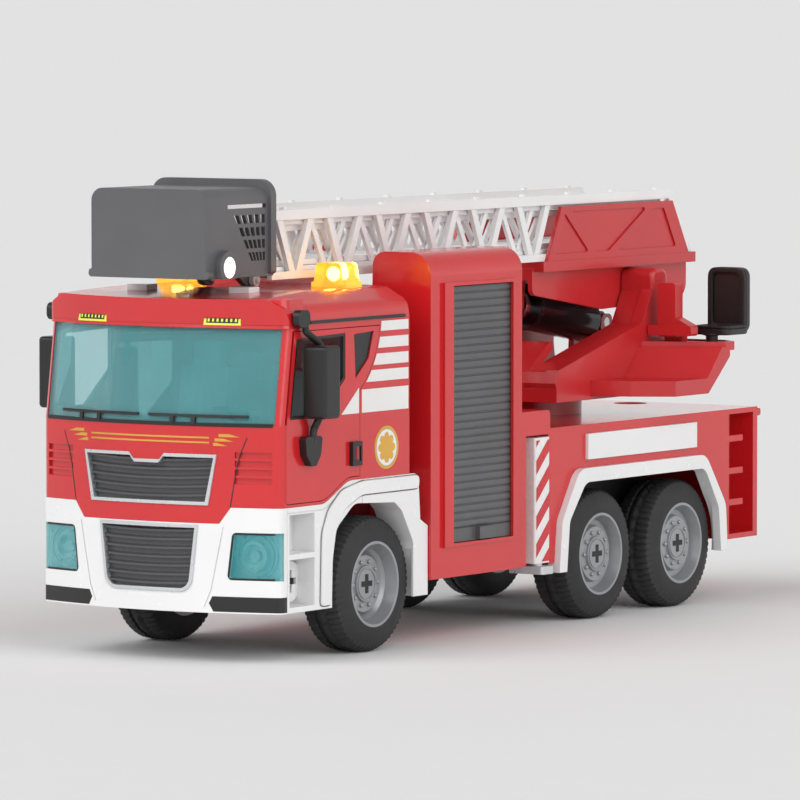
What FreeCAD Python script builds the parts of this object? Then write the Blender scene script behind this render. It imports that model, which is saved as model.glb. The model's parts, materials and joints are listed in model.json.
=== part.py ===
"""Toy ladder fire engine, about 1:16, built as separate named pieces.

Frame: millimetres, +Z up, the cab faces -Y and +X is the truck's left side.
The origin is on the ground in the middle of the whole toy's box.
"""
import FreeCAD, Part
import math
import os

V = FreeCAD.Vector

# ---------------------------------------------------------------- driving sizes
HALF = 78.0                # half the width of the cab and body
WALL = 2.6                 # moulded plastic wall
GAP = 0.4                  # air between pieces that move past each other
RUN = 0.06                 # radial clearance of a shaft in its bearing

# wheels and axles
WHEEL_R = 37.25
TYRE_W = 27.0
WHEEL_OUT = HALF - 2.0     # outer face of every tyre
RIM_R = 23.5
RIM_LIP = 1.5
HUB_R = 15.5
CAP_H = 1.4
AXLE_R = 3.0
AXLE_Y = {"front": -152.0, "middle": 83.3, "rear": 172.9}
BEARING_HALF = 7.0

# chassis
RAIL_IN = 14.0
RAIL_OUT = 30.0
PAN_HALF = 38.0
PAN_Z = 56.0
PAN_T = 4.0
FRAME_FRONT = -236.0
FRAME_REAR = 246.0

# cab
FRONT_Y = -260.0           # foremost point of the cab's bowed face
FRONT_R = 228.0            # bow of that face, seen from above
CORNER_R = 6.0
CAB_REAR = -121.0
CAB_BASE = 84.5            # seam between red cab and white lower part
FASCIA_Z = 75.7            # lower edge of the red point in the middle
FASCIA_HALF = 44.2
FASCIA_TOP_HALF = 50.8
BELT_Z = 128.8             # lower edge of the windscreen
HEAD_Z = 180.0             # lower edge of the sun visor
EAVES_Z = HEAD_Z + 2.0     # upper edge of the cab's side walls
LEAN = 8.0                 # how far the windscreen's top lies behind its foot
GLASS_T = 1.6
GLASS_INSET = 0.6
GLASS_HALF = HALF - 3.6
ROOF_Z = 198.5
VISOR_TOP = 195.5
VISOR_HALF = HALF + 0.2
VISOR_TOP_HALF = HALF - 3.0
VISOR_BACK = 5.7           # visor face behind the bumper face
VISOR_END = -222.0
MARKER_Z = (181.6, 188.6)

# doors
BARREL_R = 1.6
HINGE_X = HALF - BARREL_R
HINGE_Y = -240.9
PIN_R = 0.8
DOOR_T = 2.8
DOOR_TOP = EAVES_Z - 3.4
DOOR_BACK = -170.0
SILL = 1.6

# bumper and front wings
BUMPER_Z = 27.8
BUMPER_CORNER_R = 4.0
BUMPER_T = 3.0
LAMP_R = 2.6
BUMPER_END = -241.0
GUARD_Z = (28.6, 36.8)
GUARD_T = 1.6
WING_OUT = HALF + 0.3
WING_IN = HALF - 18.0

# equipment cabinets behind the cab
CABINET_Y = (-102.5, -8.2)
CABINET_Z = (36.0, 216.0)
CABINET_OUT = HALF + 2.0
CABINET_IN_LOW = 39.0
CABINET_IN_HIGH = 42.0
CABINET_WALL = 3.2
SHUTTER_Y = (-81.6, -20.0)
SHUTTER_Z = (54.8, 197.0)
SHUTTER_T = 1.4
SHUTTER_X = CABINET_OUT - 1.8   # inner face of the slats
GROOVE_D = 1.4
BAR_H = 7.5
TRIM_OUT = CABINET_OUT + 1.8

# rear body
DECK_Z = 112.5
BODY_REAR = 257.0
BODY_Z = 36.0
LIP_OUT = 3.8
BAY_Y = (224.0, 252.0)
BAY_DEPTH = 16.0
RUNG_Z = (57.5, 76.0, 95.0)
SHOULDER_Y = 25.0
SHOULDER_Z = 123.0
WELL_IN = WHEEL_OUT - TYRE_W - 5.0
WELL_Z = 84.0
BOARD_T = 2.0

# outriggers
LEG_X = (HALF - 6.0, HALF + 2.0)
LEG_Y = (6.2, 21.8)
LEG_Z = (37.0, 108.0)
BEAM_H = 12.0
BEAM_IN = 42.0
BEAM_Z = 92.0
FOOT_X = (HALF - 17.0, HALF + 6.0)
FOOT_Y = (7.4, 20.0)
FOOT_Z = (31.0, 35.5)
RAM_LEG_R = 3.0

# turntable and turret
SLEW_Y = 136.0
SLEW_R = 26.0
SPIGOT_R = 12.0
TURRET_Z = 123.0
TURRET_FLOOR = 131.0
CHEEK_IN = 28.6
CHEEK_OUT = 50.0
CHEEK_STEP = 42.0
PIVOT_Y = 192.0
PIVOT_Z = 186.0
PIVOT_R = 3.0
EAR_HALF = 8.6
EAR_TOP = 196.0            # under BOOM_TOP
EAR_CORNER_R = 6.0
PIN_IN = 23.0

# lifting ram
RAM_FOOT = (196.0, 163.0)
RAM_HEAD = (100.0, 178.0)
BARREL_OUT = 13.0
ROD_R = 10.0
BARREL_START = 10.5
BARREL_LEN = 68.0
EYE_HALF = 7.0

# operator's platform
PLATFORM_OUT = 94.4
PLATFORM_TOP = 154.0
RIM_H = 5.0

# ladder and boom
BOOM_TOP = 197.0
LADDER_HALF = 32.0
RAIL_W = 3.2
LADDER_FRONT = -187.0
LADDER_REAR = 233.0
LADDER_LOW = BOOM_TOP + 6.0
LADDER_TOP = LADDER_LOW + 37.7
TOP_RAIL_H = 5.6
LOW_RAIL_H = 4.2
TRUSS_LAST = 81.6          # rearmost meeting point of two braces
TRUSS_PITCH = 49.0
TRUSS_HALF_TOP = 17.0
BRACE_W = 5.0
SLIDE_GAP = 0.6
BOOM_HALF = 27.8
BOOM_PLATE_T = 2.8
PANEL_T = 2.4
PANEL_POCKET = 1.0
PANEL_RIB = 3.0

# rescue basket
BASKET_HALF = 37.3
BASKET_FRONT = -258.0
BASKET_BACK = -193.5
BASKET_Z = (206.0, 254.0)
BASKET_WALL = 2.4
BASKET_R = 7.0
BASKET_PIVOT = (-182.0, 202.6)
HOOP_TOP = 258.0
HOOP_T = 4.5


# ---------------------------------------------------------------- small helpers
def box(x, y, z):
    """A block between two values on each axis."""
    return Part.makeBox(x[1] - x[0], y[1] - y[0], z[1] - z[0], V(x[0], y[0], z[0]))


def rounded_wire(points, place, radius=0.0, radii=None):
    """A closed wire through 2D points; corners are rounded by radius or by radii[index]."""
    radii = radii or {}
    count = len(points)
    starts = []
    arcs = []
    for i, corner in enumerate(points):
        before = points[i - 1]
        after = points[(i + 1) % count]
        r = radii.get(i, radius)
        if r <= 0:
            starts.append((corner, corner))
            arcs.append(None)
            continue
        a = FreeCAD.Base.Vector2d(before[0] - corner[0], before[1] - corner[1])
        b = FreeCAD.Base.Vector2d(after[0] - corner[0], after[1] - corner[1])
        la = math.hypot(a.x, a.y)
        lb = math.hypot(b.x, b.y)
        ua = (a.x / la, a.y / la)
        ub = (b.x / lb, b.y / lb)
        half = math.acos(max(-1.0, min(1.0, ua[0] * ub[0] + ua[1] * ub[1]))) / 2
        run = r / math.tan(half)
        bis = (ua[0] + ub[0], ua[1] + ub[1])
        lbis = math.hypot(*bis)
        reach = r / math.sin(half) - r
        first = (corner[0] + ua[0] * run, corner[1] + ua[1] * run)
        last = (corner[0] + ub[0] * run, corner[1] + ub[1] * run)
        middle = (corner[0] + bis[0] / lbis * reach, corner[1] + bis[1] / lbis * reach)
        starts.append((first, last))
        arcs.append(middle)
    edges = []
    for i in range(count):
        first, last = starts[i]
        if arcs[i] is not None:
            edges.append(Part.Arc(place(*first), place(*arcs[i]), place(*last)).toShape())
        following = starts[(i + 1) % count][0]
        if math.hypot(following[0] - last[0], following[1] - last[1]) > 1e-6:
            edges.append(Part.LineSegment(place(*last), place(*following)).toShape())
    return Part.Wire(edges)


def prism_x(points, x, radius=0.0, radii=None):
    """A (y, z) outline carried from x[0] to x[1]."""
    wire = rounded_wire(points, lambda a, b: V(x[0], a, b), radius, radii)
    return Part.Face(wire).extrude(V(x[1] - x[0], 0, 0))


def prism_y(points, y, radius=0.0, radii=None):
    """An (x, z) outline carried from y[0] to y[1]."""
    wire = rounded_wire(points, lambda a, b: V(a, y[0], b), radius, radii)
    return Part.Face(wire).extrude(V(0, y[1] - y[0], 0))


def prism_z(points, z, radius=0.0, radii=None):
    """An (x, y) outline carried from z[0] to z[1]."""
    wire = rounded_wire(points, lambda a, b: V(a, b, z[0]), radius, radii)
    return Part.Face(wire).extrude(V(0, 0, z[1] - z[0]))


def rod(start, end, r):
    """A round bar between two points."""
    a = V(*start)
    b = V(*end)
    return Part.makeCylinder(r, (b - a).Length, a, b - a)


def bar(start, end, x, width):
    """A flat bar in the (y, z) plane from start to end, width across, between two x values."""
    dy = end[0] - start[0]
    dz = end[1] - start[1]
    length = math.hypot(dy, dz)
    ny = -dz / length * width / 2
    nz = dy / length * width / 2
    corners = [(start[0] + ny, start[1] + nz), (end[0] + ny, end[1] + nz),
               (end[0] - ny, end[1] - nz), (start[0] - ny, start[1] - nz)]
    return prism_x(corners, x)


def bar_y(start, end, width):
    """A flat bar in the (x, z) plane, width across, through the whole front of the truck."""
    dx = end[0] - start[0]
    dz = end[1] - start[1]
    length = math.hypot(dx, dz)
    nx = -dz / length * width / 2
    nz = dx / length * width / 2
    corners = [(start[0] + nx, start[1] + nz), (end[0] + nx, end[1] + nz),
               (end[0] - nx, end[1] - nz), (start[0] - nx, start[1] - nz)]
    return prism_y(corners, (FRONT_Y - 5, BUMPER_END))


def fuse(*shapes):
    return shapes[0].multiFuse(list(shapes[1:])).removeSplitter()


def cut(shape, *tools):
    return shape.cut(list(tools))


def mirrored(shape):
    return shape.mirror(V(0, 0, 0), V(1, 0, 0))


def pair(shape):
    return [shape, mirrored(shape)]


def save(name, *shapes):
    """Writes one piece, or a group of equal loose pieces, as one file."""
    solids = [s for shape in shapes for s in shape.Solids]
    whole = solids[0] if len(solids) == 1 else Part.makeCompound(solids)
    assert whole.isValid(), name
    whole.exportStep("parts/" + name + ".step")


# ---------------------------------------------------------------- cab outline
def cab_wire(z, back, half, corner, inset):
    """The cab seen from above: bowed face, round corners, straight sides, flat back."""
    middle_y = FRONT_Y + FRONT_R + back
    corner_x = half - corner
    corner_y = middle_y - math.sqrt((FRONT_R - corner) ** 2 - corner_x ** 2)
    lean = math.hypot(corner_x, corner_y - middle_y)
    meet_x = corner_x * (FRONT_R - inset) / lean
    meet_y = middle_y + (corner_y - middle_y) * (FRONT_R - inset) / lean
    turn = math.atan2(meet_y - corner_y, meet_x - corner_x) / 2
    r = corner - inset
    mid_x = corner_x + r * math.cos(turn)
    mid_y = corner_y + r * math.sin(turn)
    side = half - inset
    rear = CAB_REAR - inset
    face_y = FRONT_Y + back + inset
    edges = [
        Part.Arc(V(-meet_x, meet_y, z), V(0, face_y, z), V(meet_x, meet_y, z)),
        Part.Arc(V(meet_x, meet_y, z), V(mid_x, mid_y, z), V(side, corner_y, z)),
        Part.LineSegment(V(side, corner_y, z), V(side, rear, z)),
        Part.LineSegment(V(side, rear, z), V(-side, rear, z)),
        Part.LineSegment(V(-side, rear, z), V(-side, corner_y, z)),
        Part.Arc(V(-side, corner_y, z), V(-mid_x, mid_y, z), V(-meet_x, meet_y, z)),
    ]
    return Part.Wire([edge.toShape() for edge in edges])


def cab_block(levels, inset=0.0, corner=CORNER_R):
    """A solid through cab outlines; each level is (z, how far back, half width)."""
    wires = [cab_wire(z, back, half, corner, inset) for z, back, half in levels]
    return Part.makeLoft(wires, True, True)


def lean_at(z):
    """How far back the cab's face lies at height z."""
    return max(0.0, (z - BELT_Z) / (EAVES_Z - BELT_Z) * LEAN)


def cab_body(z, inset=0.0):
    """The cab's outer form, or the form inset from it, between two heights."""
    heights = sorted({z[0], z[1]} | ({BELT_Z} if z[0] < BELT_Z < z[1] else set()))
    return cab_block([(h, lean_at(h), HALF) for h in heights], inset)


def face_skin(z, outer, inner):
    """A skin on the bumper's and lower cab's form, from inset outer to inset inner."""
    levels = [(z[0], 0, HALF), (z[1], 0, HALF)]
    skin = cut(cab_block(levels, outer), cab_block(levels, inner))
    return skin.common(box((-HALF - 5, HALF + 5), (FRONT_Y - 5, BUMPER_END), z))


WING_TOP = [(BUMPER_END, CAB_BASE), (-205.0, CAB_BASE), (-182.0, 95.7), (-112.5, 95.7)]


def above_wing(lift, x):
    """The space under the front wing's top line, raised by lift, as a cutting block."""
    points = [(y, z + lift) for y, z in WING_TOP]
    points = [(-300.0, 20.0), (-300.0, CAB_BASE + lift)] + points[1:] + [(-112.5, 20.0)]
    return prism_x(points, x, radii={2: 20.0, 3: 20.0})


def door_region(shrink):
    """The door's outline as a block through the left wall, shrunk by a gap all round."""
    y_front = HINGE_Y - BARREL_R - GAP
    lean = (DOOR_TOP - BELT_Z) / (EAVES_Z - BELT_Z) * LEAN
    x0 = HALF - 6
    at = lambda y, z: V(x0, y, z)
    low_front = at(y_front, CAB_BASE)
    belt = at(y_front, BELT_Z)
    top_front = at(y_front + lean, DOOR_TOP)
    top_back = at(-150.0, DOOR_TOP)
    sweep_end = at(DOOR_BACK, 144.0)
    low_back = at(DOOR_BACK, CAB_BASE)
    edges = [
        Part.LineSegment(low_front, belt),
        Part.LineSegment(belt, top_front),
        Part.LineSegment(top_front, top_back),
        Part.Arc(top_back, at(-157.0, 158.5), sweep_end),
        Part.LineSegment(sweep_end, low_back),
        Part.LineSegment(low_back, low_front),
    ]
    face = Part.Face(Part.Wire([edge.toShape() for edge in edges]))
    if shrink:
        face = face.makeOffset2D(-shrink, 2)
    block = face.extrude(V(12, 0, 0))
    return cut(block, above_wing(SILL + shrink, (x0 - 1, x0 + 13)))


WINDOW = [(-238.2, 131.5), (-231.5, 174.5), (-184.5, 175.6), (-184.5, 151.0), (-209.0, 131.5)]
QUARTER = [(-176.0, 174.5), (-156.5, 175.5), (-161.5, 161.0), (-174.5, 150.5)]


# ---------------------------------------------------------------- chassis and wheels
def chassis_frame():
    """Two rails, a floor pan, six axle bearings and four wheel well liners in one moulding."""
    bar_z = (44.0, PAN_Z)
    y_all = (FRAME_FRONT, FRAME_REAR)
    solid = box((-PAN_HALF, PAN_HALF), y_all, (PAN_Z, PAN_Z + PAN_T))
    for side in (-1, 1):
        rail_x = sorted((side * 14.0, side * 22.0))
        solid = solid.fuse(box(rail_x, y_all, bar_z))
    for y in AXLE_Y.values():
        for side in (-1, 1):
            block_x = sorted((side * RAIL_IN, side * RAIL_OUT))
            block = box(block_x, (y - BEARING_HALF, y + BEARING_HALF), (30.0, PAN_Z))
            solid = solid.fuse(block)
    for y in (-205.0, -60.0, 20.0, 128.0, 225.0):
        solid = solid.fuse(box((-22.0, 22.0), (y - 4, y + 4), bar_z))
    for top_y, reach in (((-175.0, -132.5), WING_IN), ((56.0, 189.0), HALF - 4.0)):
        for side in (-1, 1):
            top_x = sorted((side * (PAN_HALF - 1), side * reach))
            wall_x = sorted((side * (PAN_HALF - 1), side * (WELL_IN - 2)))
            solid = solid.fuse(box(top_x, top_y, (WELL_Z, WELL_Z + 2.0)))
            solid = solid.fuse(box(wall_x, top_y, (PAN_Z, WELL_Z + 2.0)))
    solid = solid.removeSplitter()
    for y in AXLE_Y.values():
        solid = solid.cut(rod((-RAIL_OUT - 1, y, WHEEL_R), (RAIL_OUT + 1, y, WHEEL_R), AXLE_R + RUN))
    save("chassis_frame", solid)


def lathe_x(outline, y):
    """A body turned about an axle; the outline is a list of (x, radius)."""
    points = [V(x, y, WHEEL_R + r) for x, r in outline]
    face = Part.Face(Part.makePolygon(points + points[:1]))
    return face.revolve(V(0, y, WHEEL_R), V(1, 0, 0), 360)


def tyre(y):
    """A solid tyre with rounded shoulders that grips the rim."""
    x0 = WHEEL_OUT - TYRE_W
    x1 = WHEEL_OUT
    outline = [(x0, RIM_R), (x0, 29.0), (x0 + 1.6, 34.6), (x0 + 4.5, WHEEL_R),
               (x1 - 4.5, WHEEL_R), (x1 - 1.6, 34.6), (x1, 29.0), (x1, RIM_R)]
    return lathe_x(outline, y)


def rim(y, front):
    """A dished wheel with a hub disc and a closed cap; the front hub lies deeper."""
    x0 = WHEEL_OUT - TYRE_W
    x1 = WHEEL_OUT
    disc = x1 - (7.0 if front else 4.0)
    outline = [(x0, RIM_R), (x1, RIM_R), (x1, RIM_R - RIM_LIP), (x1 - 6.5, RIM_R - 4.0),
               (disc - 3.0, HUB_R + 1.0), (disc, HUB_R), (disc, AXLE_R), (x0 + 6, AXLE_R),
               (x0 + 6, HUB_R - 6), (disc - 6, HUB_R - 3), (x0, RIM_R - 2.5)]
    wheel = lathe_x(outline, y)
    cap = [(disc, 0.0), (disc, 10.3), (disc + CAP_H, 9.9), (disc + CAP_H, 0.0)]
    return wheel.fuse(lathe_x(cap, y)).removeSplitter()


def wheel_sets():
    """Three axles, each with its two rims and two tyres."""
    for name, y in AXLE_Y.items():
        reach = WHEEL_OUT - (7.0 if name == "front" else 4.0)
        save("axle_" + name, rod((-reach, y, WHEEL_R), (reach, y, WHEEL_R), AXLE_R))
        save("rims_" + name, *pair(rim(y, name == "front")))
        save("tyres_" + name, *pair(tyre(y)))


# ---------------------------------------------------------------- cab
def grille_outline(upper, shrink=0.0):
    """The grille's (x, z) outline and the radii of its corners."""
    s = shrink
    if upper:
        points = [(-43.1 + s, 112.7 - s), (-11.5 + s * 0.4, 112.7 - s), (-8.6 + s * 0.4, 109.2 - s),
                  (8.6 - s * 0.4, 109.2 - s), (11.5 - s * 0.4, 112.7 - s), (43.1 - s, 112.7 - s),
                  (38.1 - s, 85.4 + s), (-38.1 + s, 85.4 + s)]
        return points, {}
    points = [(-32.0 + s, 74.9 - s), (32.0 - s, 74.9 - s), (28.0 - s, 38.6 + s), (-28.0 + s, 38.6 + s)]
    return points, {2: 8.0 - s, 3: 8.0 - s}


def grille_block(upper, shrink=0.0):
    points, radii = grille_outline(upper, shrink)
    return prism_y(points, (FRONT_Y - 5, FRONT_Y + 20), radii=radii)


def vent_slots():
    """Four short slots at each end of the cab's face."""
    skin = face_skin((90.0, 120.0), -1.0, 1.4)
    rows = []
    for i in range(4):
        z = 97.2 + i * 4.6
        rows += pair(box((53.0, 73.0), (-256.0, -240.0), (z, z + 3.2)))
    return [skin.common(row) for row in rows]


def cab_shell():
    """Side walls, back wall and lower face; open at the screen, the doors and the grille."""
    z = (FASCIA_Z, EAVES_Z)
    shell = cut(cab_body(z), cab_body((z[0] - 1, z[1] + 1), WALL))
    low = [(FASCIA_HALF, FASCIA_Z - 1), (FASCIA_HALF, FASCIA_Z), (FASCIA_TOP_HALF, CAB_BASE),
           (HALF + 3, CAB_BASE), (HALF + 3, FASCIA_Z - 1)]
    under = prism_y(low, (FRONT_Y - 5, CAB_REAR + 5))
    behind = box((-HALF - 3, HALF + 3), (-246.0, CAB_REAR + 5), (FASCIA_Z - 1, CAB_BASE))
    screen = box((-GLASS_HALF, GLASS_HALF), (FRONT_Y - 5, -236.0), (BELT_Z, EAVES_Z + 1))
    visor = box((-HALF - 3, HALF + 3), (FRONT_Y - 5, VISOR_END), (HEAD_Z, EAVES_Z + 1))
    wings = above_wing(0.0, (WING_IN - 0.2, HALF + 5))
    door = door_region(0.0)
    shell = cut(shell, under, mirrored(under), behind, screen, visor, wings, mirrored(wings),
                door, mirrored(door), grille_block(True), *vent_slots())
    pin = rod((HINGE_X, HINGE_Y, CAB_BASE - 1), (HINGE_X, HINGE_Y, CAB_BASE + SILL + 1), PIN_R)
    shell = cut(shell, pin, mirrored(pin))
    save("cab_shell", shell)


def roof_form(inset):
    """The roof's rounded form above the eaves, inset by a wall."""
    i = inset
    across = [(-HALF + i, EAVES_Z - i), (-76.8 + i, 190.5 - i), (-62.0 + i, ROOF_Z - i),
              (62.0 - i, ROOF_Z - i), (76.8 - i, 190.5 - i), (HALF - i, EAVES_Z - i)]
    along = [(-265.0, EAVES_Z - i), (-265.0, 194.5 - i), (-228.0, 197.0 - i), (-195.0, ROOF_Z - i),
             (-100.0, ROOF_Z - i), (-100.0, EAVES_Z - i)]
    shape = prism_y(across, (-265.0, -100.0), radii={1: 8.0, 2: 12.0, 3: 12.0, 4: 8.0})
    shape = shape.common(prism_x(along, (-HALF, HALF)))
    plan = cab_block([(EAVES_Z - 5, VISOR_BACK, HALF), (ROOF_Z + 2, VISOR_BACK, HALF)], inset)
    return shape.common(plan)


def cab_roof():
    """The roof with its sun visor, hollow below, with fine panel grooves on top."""
    brow_levels = [(HEAD_Z, VISOR_BACK, VISOR_HALF), (VISOR_TOP, VISOR_BACK + 3, VISOR_TOP_HALF)]
    front_half = box((-90, 90), (-270, VISOR_END), (HEAD_Z - 5, VISOR_TOP + 5))
    brow = cab_block(brow_levels).common(front_half)
    hollow_levels = [(HEAD_Z - 1, VISOR_BACK, VISOR_HALF), (VISOR_TOP - WALL, VISOR_BACK + 3, VISOR_TOP_HALF)]
    roof = cut(roof_form(0.0).fuse(brow), roof_form(WALL), cab_block(hollow_levels, 2.4).common(front_half))
    seat = box((31.8, 53.1), (-262.0, -240.0), MARKER_Z)
    skin = cut(cab_block(brow_levels, -1.0), cab_block(brow_levels, 1.2)).common(front_half)
    pocket = skin.common(seat)
    grooves = []
    for x in (-44.0, -22.0, 0.0, 22.0, 44.0):
        grooves.append(box((x - 0.5, x + 0.5), (-226.0, -134.0), (ROOF_Z - 0.7, ROOF_Z + 1)))
    roof = cut(roof, pocket, mirrored(pocket), *grooves).removeSplitter()
    lamp = cut(cab_block(brow_levels, -0.5), cab_block(brow_levels, 1.2)).common(front_half).common(seat)
    save("cab_roof", roof)
    save("marker_lights", *pair(lamp))


def roof_fittings():
    """White rest pads under the basket and two amber beacons."""
    pad = box((27.0, 40.0), (-221.0, -211.0), (196.0, 200.6))
    save("roof_pads", *[p.cut(roof_form(0.0)) for p in pair(pad)])
    base = box((41.0, 62.0), (-162.0, -144.0), (ROOF_Z, ROOF_Z + 3))
    lens = prism_y([(42.0, ROOF_Z + 3), (43.5, 212.0), (59.5, 212.0), (61.0, ROOF_Z + 3)],
                   (-161.0, -145.0), radii={1: 3.0, 2: 3.0})
    save("beacons", *pair(fuse(base, lens)))


def windshield():
    """The bowed, leaning screen."""
    z = (BELT_Z, HEAD_Z)
    glass = cut(cab_body(z, GLASS_INSET), cab_body(z, GLASS_INSET + GLASS_T))
    glass = glass.common(box((-GLASS_HALF, GLASS_HALF), (FRONT_Y - 5, -236.0), z))
    save("windshield", glass)


def wipers():
    """Two wiper blades on short posts along the foot of the screen."""
    blade_z = (132.6, 134.0)
    skin = cut(cab_body((BELT_Z, 140.0), -0.9), cab_body((BELT_Z, 140.0), GLASS_INSET - 0.02))
    pieces = []
    for x0, x1 in ((-61.0, -5.6), (1.2, 60.0)):
        pieces_here = [box((x0, x1), (-265, -240), blade_z)]
        for x in (x0 + 15.0, x0 + 28.0):
            pieces_here.append(box((x - 1.2, x + 1.2), (-265, -240), (BELT_Z, blade_z[1])))
        pieces.append(skin.common(fuse(*pieces_here)))
    save("wipers", *pieces)


def grilles():
    """Bright frames and dark louvres of the upper and lower grille."""
    frames = []
    louvres = []
    skin = cut(cab_block([(30, 0, HALF), (120, 0, HALF)], -0.8), cab_block([(30, 0, HALF), (120, 0, HALF)], 3.0))
    for upper, count, low, high in ((True, 5, 87.0, 111.0), (False, 7, 40.0, 73.0)):
        rim_block = cut(grille_block(upper), grille_block(upper, 1.8))
        frames.append(skin.common(rim_block))
        inside = grille_block(upper, 1.8)
        back = face_skin((30.0, 120.0), 3.0, 4.6).common(inside)
        slats = [back]
        pitch = (high - low) / count
        for i in range(count):
            z = low + (i + 0.5) * pitch
            slat = prism_x([(-262.0, z - 1.6), (-262.0, z - 0.4), (-240.0, z + 8.4), (-240.0, z + 7.2)], (-50, 50))
            body = face_skin((30.0, 120.0), 0.8, 3.6)
            slats.append(slat.common(inside).common(body))
        louvres.append(fuse(*slats))
    save("grille_frames", *frames)
    save("grille_louvres", *louvres)


def lamp_region(margin):
    """The headlamp opening in the left half of the bumper."""
    m = margin
    points = [(HALF - 29.5 - m, 45.7 - m), (HALF - 26.5 - m, 71.2 + m), (HALF + 5, 71.2 + m), (HALF + 5, 45.7 - m)]
    return prism_y(points, (FRONT_Y - 5, BUMPER_END - 2.5 + m * 0.5), radii={0: LAMP_R, 1: LAMP_R})


def guard_region():
    """The black corner guard's region at the bottom of the left half."""
    points = [(40.7, GUARD_Z[0]), (38.2, 33.0), (40.2, GUARD_Z[1]), (HALF + 5, GUARD_Z[1]), (HALF + 5, GUARD_Z[0])]
    return prism_y(points, (FRONT_Y - 5, BUMPER_END))


def bumper_block(z, inset):
    return cab_block([(z[0], 0, HALF), (z[1], 0, HALF)], inset, BUMPER_CORNER_R)


def front_bumper():
    """The white bumper, its black corner guards, headlamp glasses and reflectors."""
    z = (BUMPER_Z, CAB_BASE)
    front = box((-HALF - 5, HALF + 5), (FRONT_Y - 5, BUMPER_END), z)
    body = cut(bumper_block(z, 0.0), bumper_block(z, BUMPER_T)).common(front)
    notch = prism_y([(-FASCIA_HALF, FASCIA_Z), (FASCIA_HALF, FASCIA_Z), (FASCIA_TOP_HALF, CAB_BASE),
                     (FASCIA_TOP_HALF, CAB_BASE + 5), (-FASCIA_TOP_HALF, CAB_BASE + 5),
                     (-FASCIA_TOP_HALF, CAB_BASE)], (FRONT_Y - 5, BUMPER_END))
    skin_out = cut(bumper_block(z, 0.0), bumper_block(z, GUARD_T)).common(front)
    guard = skin_out.common(guard_region())
    lens_skin = cut(bumper_block(z, 0.3), bumper_block(z, 1.7)).common(front)
    lens = lens_skin.common(lamp_region(0.0))
    lamp = lamp_region(0.0)
    seams = []
    for line in (((46.5, 74.0), (39.5, 40.0)), ((39.5, 40.0), (35.5, BUMPER_Z + 3))):
        seams += pair(bar_y(line[0], line[1], 0.6))
    groove = cut(bumper_block(z, -0.5), bumper_block(z, 0.5)).common(front)
    body = cut(body, *[groove.common(seam) for seam in seams], notch, guard, mirrored(guard), lamp, mirrored(lamp), grille_block(False))
    save("front_bumper", body)
    save("corner_guards", *pair(guard))
    save("headlamp_lenses", *pair(lens))
    plate = box((HALF - 31.0, HALF - BUMPER_T), (BUMPER_END - 2.2, BUMPER_END), (43.0, 74.0))
    front = -247.4
    at = lambda y: (HALF - 17.0, y, 58.5)
    dish = rod(at(front), at(BUMPER_END - 1), 8.2).cut(rod(at(front - 1), at(BUMPER_END - 2), 6.8))
    bulb = rod(at(front + 1), at(BUMPER_END - 1.5), 3.0)
    save("headlamp_reflectors", *pair(fuse(plate, dish, bulb)))


def wheel_space(y):
    """Room for a turning wheel behind the skin of a wing."""
    return rod((WHEEL_OUT - TYRE_W - 4, y, WHEEL_R), (WHEEL_OUT + 1.0, y, WHEEL_R), WHEEL_R + 1.2)


def front_wing():
    """One white wing: arch over the wheel, boarding step with two recesses."""
    outline = [(BUMPER_END, 28.0)] + WING_TOP + [
        (-110.5, 70.0), (-103.0, 66.0), (-103.0, 28.0), (-117.5, 28.0), (-117.5, 58.0), (-129.0, 76.0),
        (-136.0, 81.0), (-176.0, 83.0), (-194.5, 70.0), (-198.0, 49.0), (-198.0, 28.0)]
    radii = {2: 20.0, 3: 20.0, 4: 5.0, 9: 6.0, 10: 8.0, 11: 4.0, 12: 12.0, 13: 12.0, 14: 14.0}
    wing = prism_x(outline, (WING_IN, WING_OUT), radii=radii)
    upper_step = box((WING_IN + 4, WING_OUT + 1), (-239.0, -215.0), (59.5, 80.5))
    lower_step = box((WING_IN + 4, WING_OUT + 1), (-239.0, -215.0), (31.0, 56.5))
    wing = cut(wing, upper_step, lower_step)
    plug = rod((WING_IN + 4, -222.0, 43.5), (WING_IN + 7, -222.0, 43.5), 11.0)
    arm = 6.0
    cross = box((WING_IN + 5, WING_IN + 10), (-222.0 - arm, -222.0 + arm), (41.7, 45.3))
    cross = cross.fuse(box((WING_IN + 5, WING_IN + 10), (-223.8, -220.2), (43.5 - arm, 43.5 + arm)))
    wing = wing.fuse(plug).cut(cross)
    seam = box((WING_OUT - 0.6, WING_OUT + 1), (-168.4, -167.8), (80.0, 97.0))
    rib_x = (WING_OUT - 0.5, WING_OUT + 1)
    rib = above_wing(-2.6, rib_x).cut(above_wing(-3.2, (rib_x[0] - 1, rib_x[1] + 1)))
    return cut(wing, seam, rib, wheel_space(AXLE_Y["front"])).removeSplitter()


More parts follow.
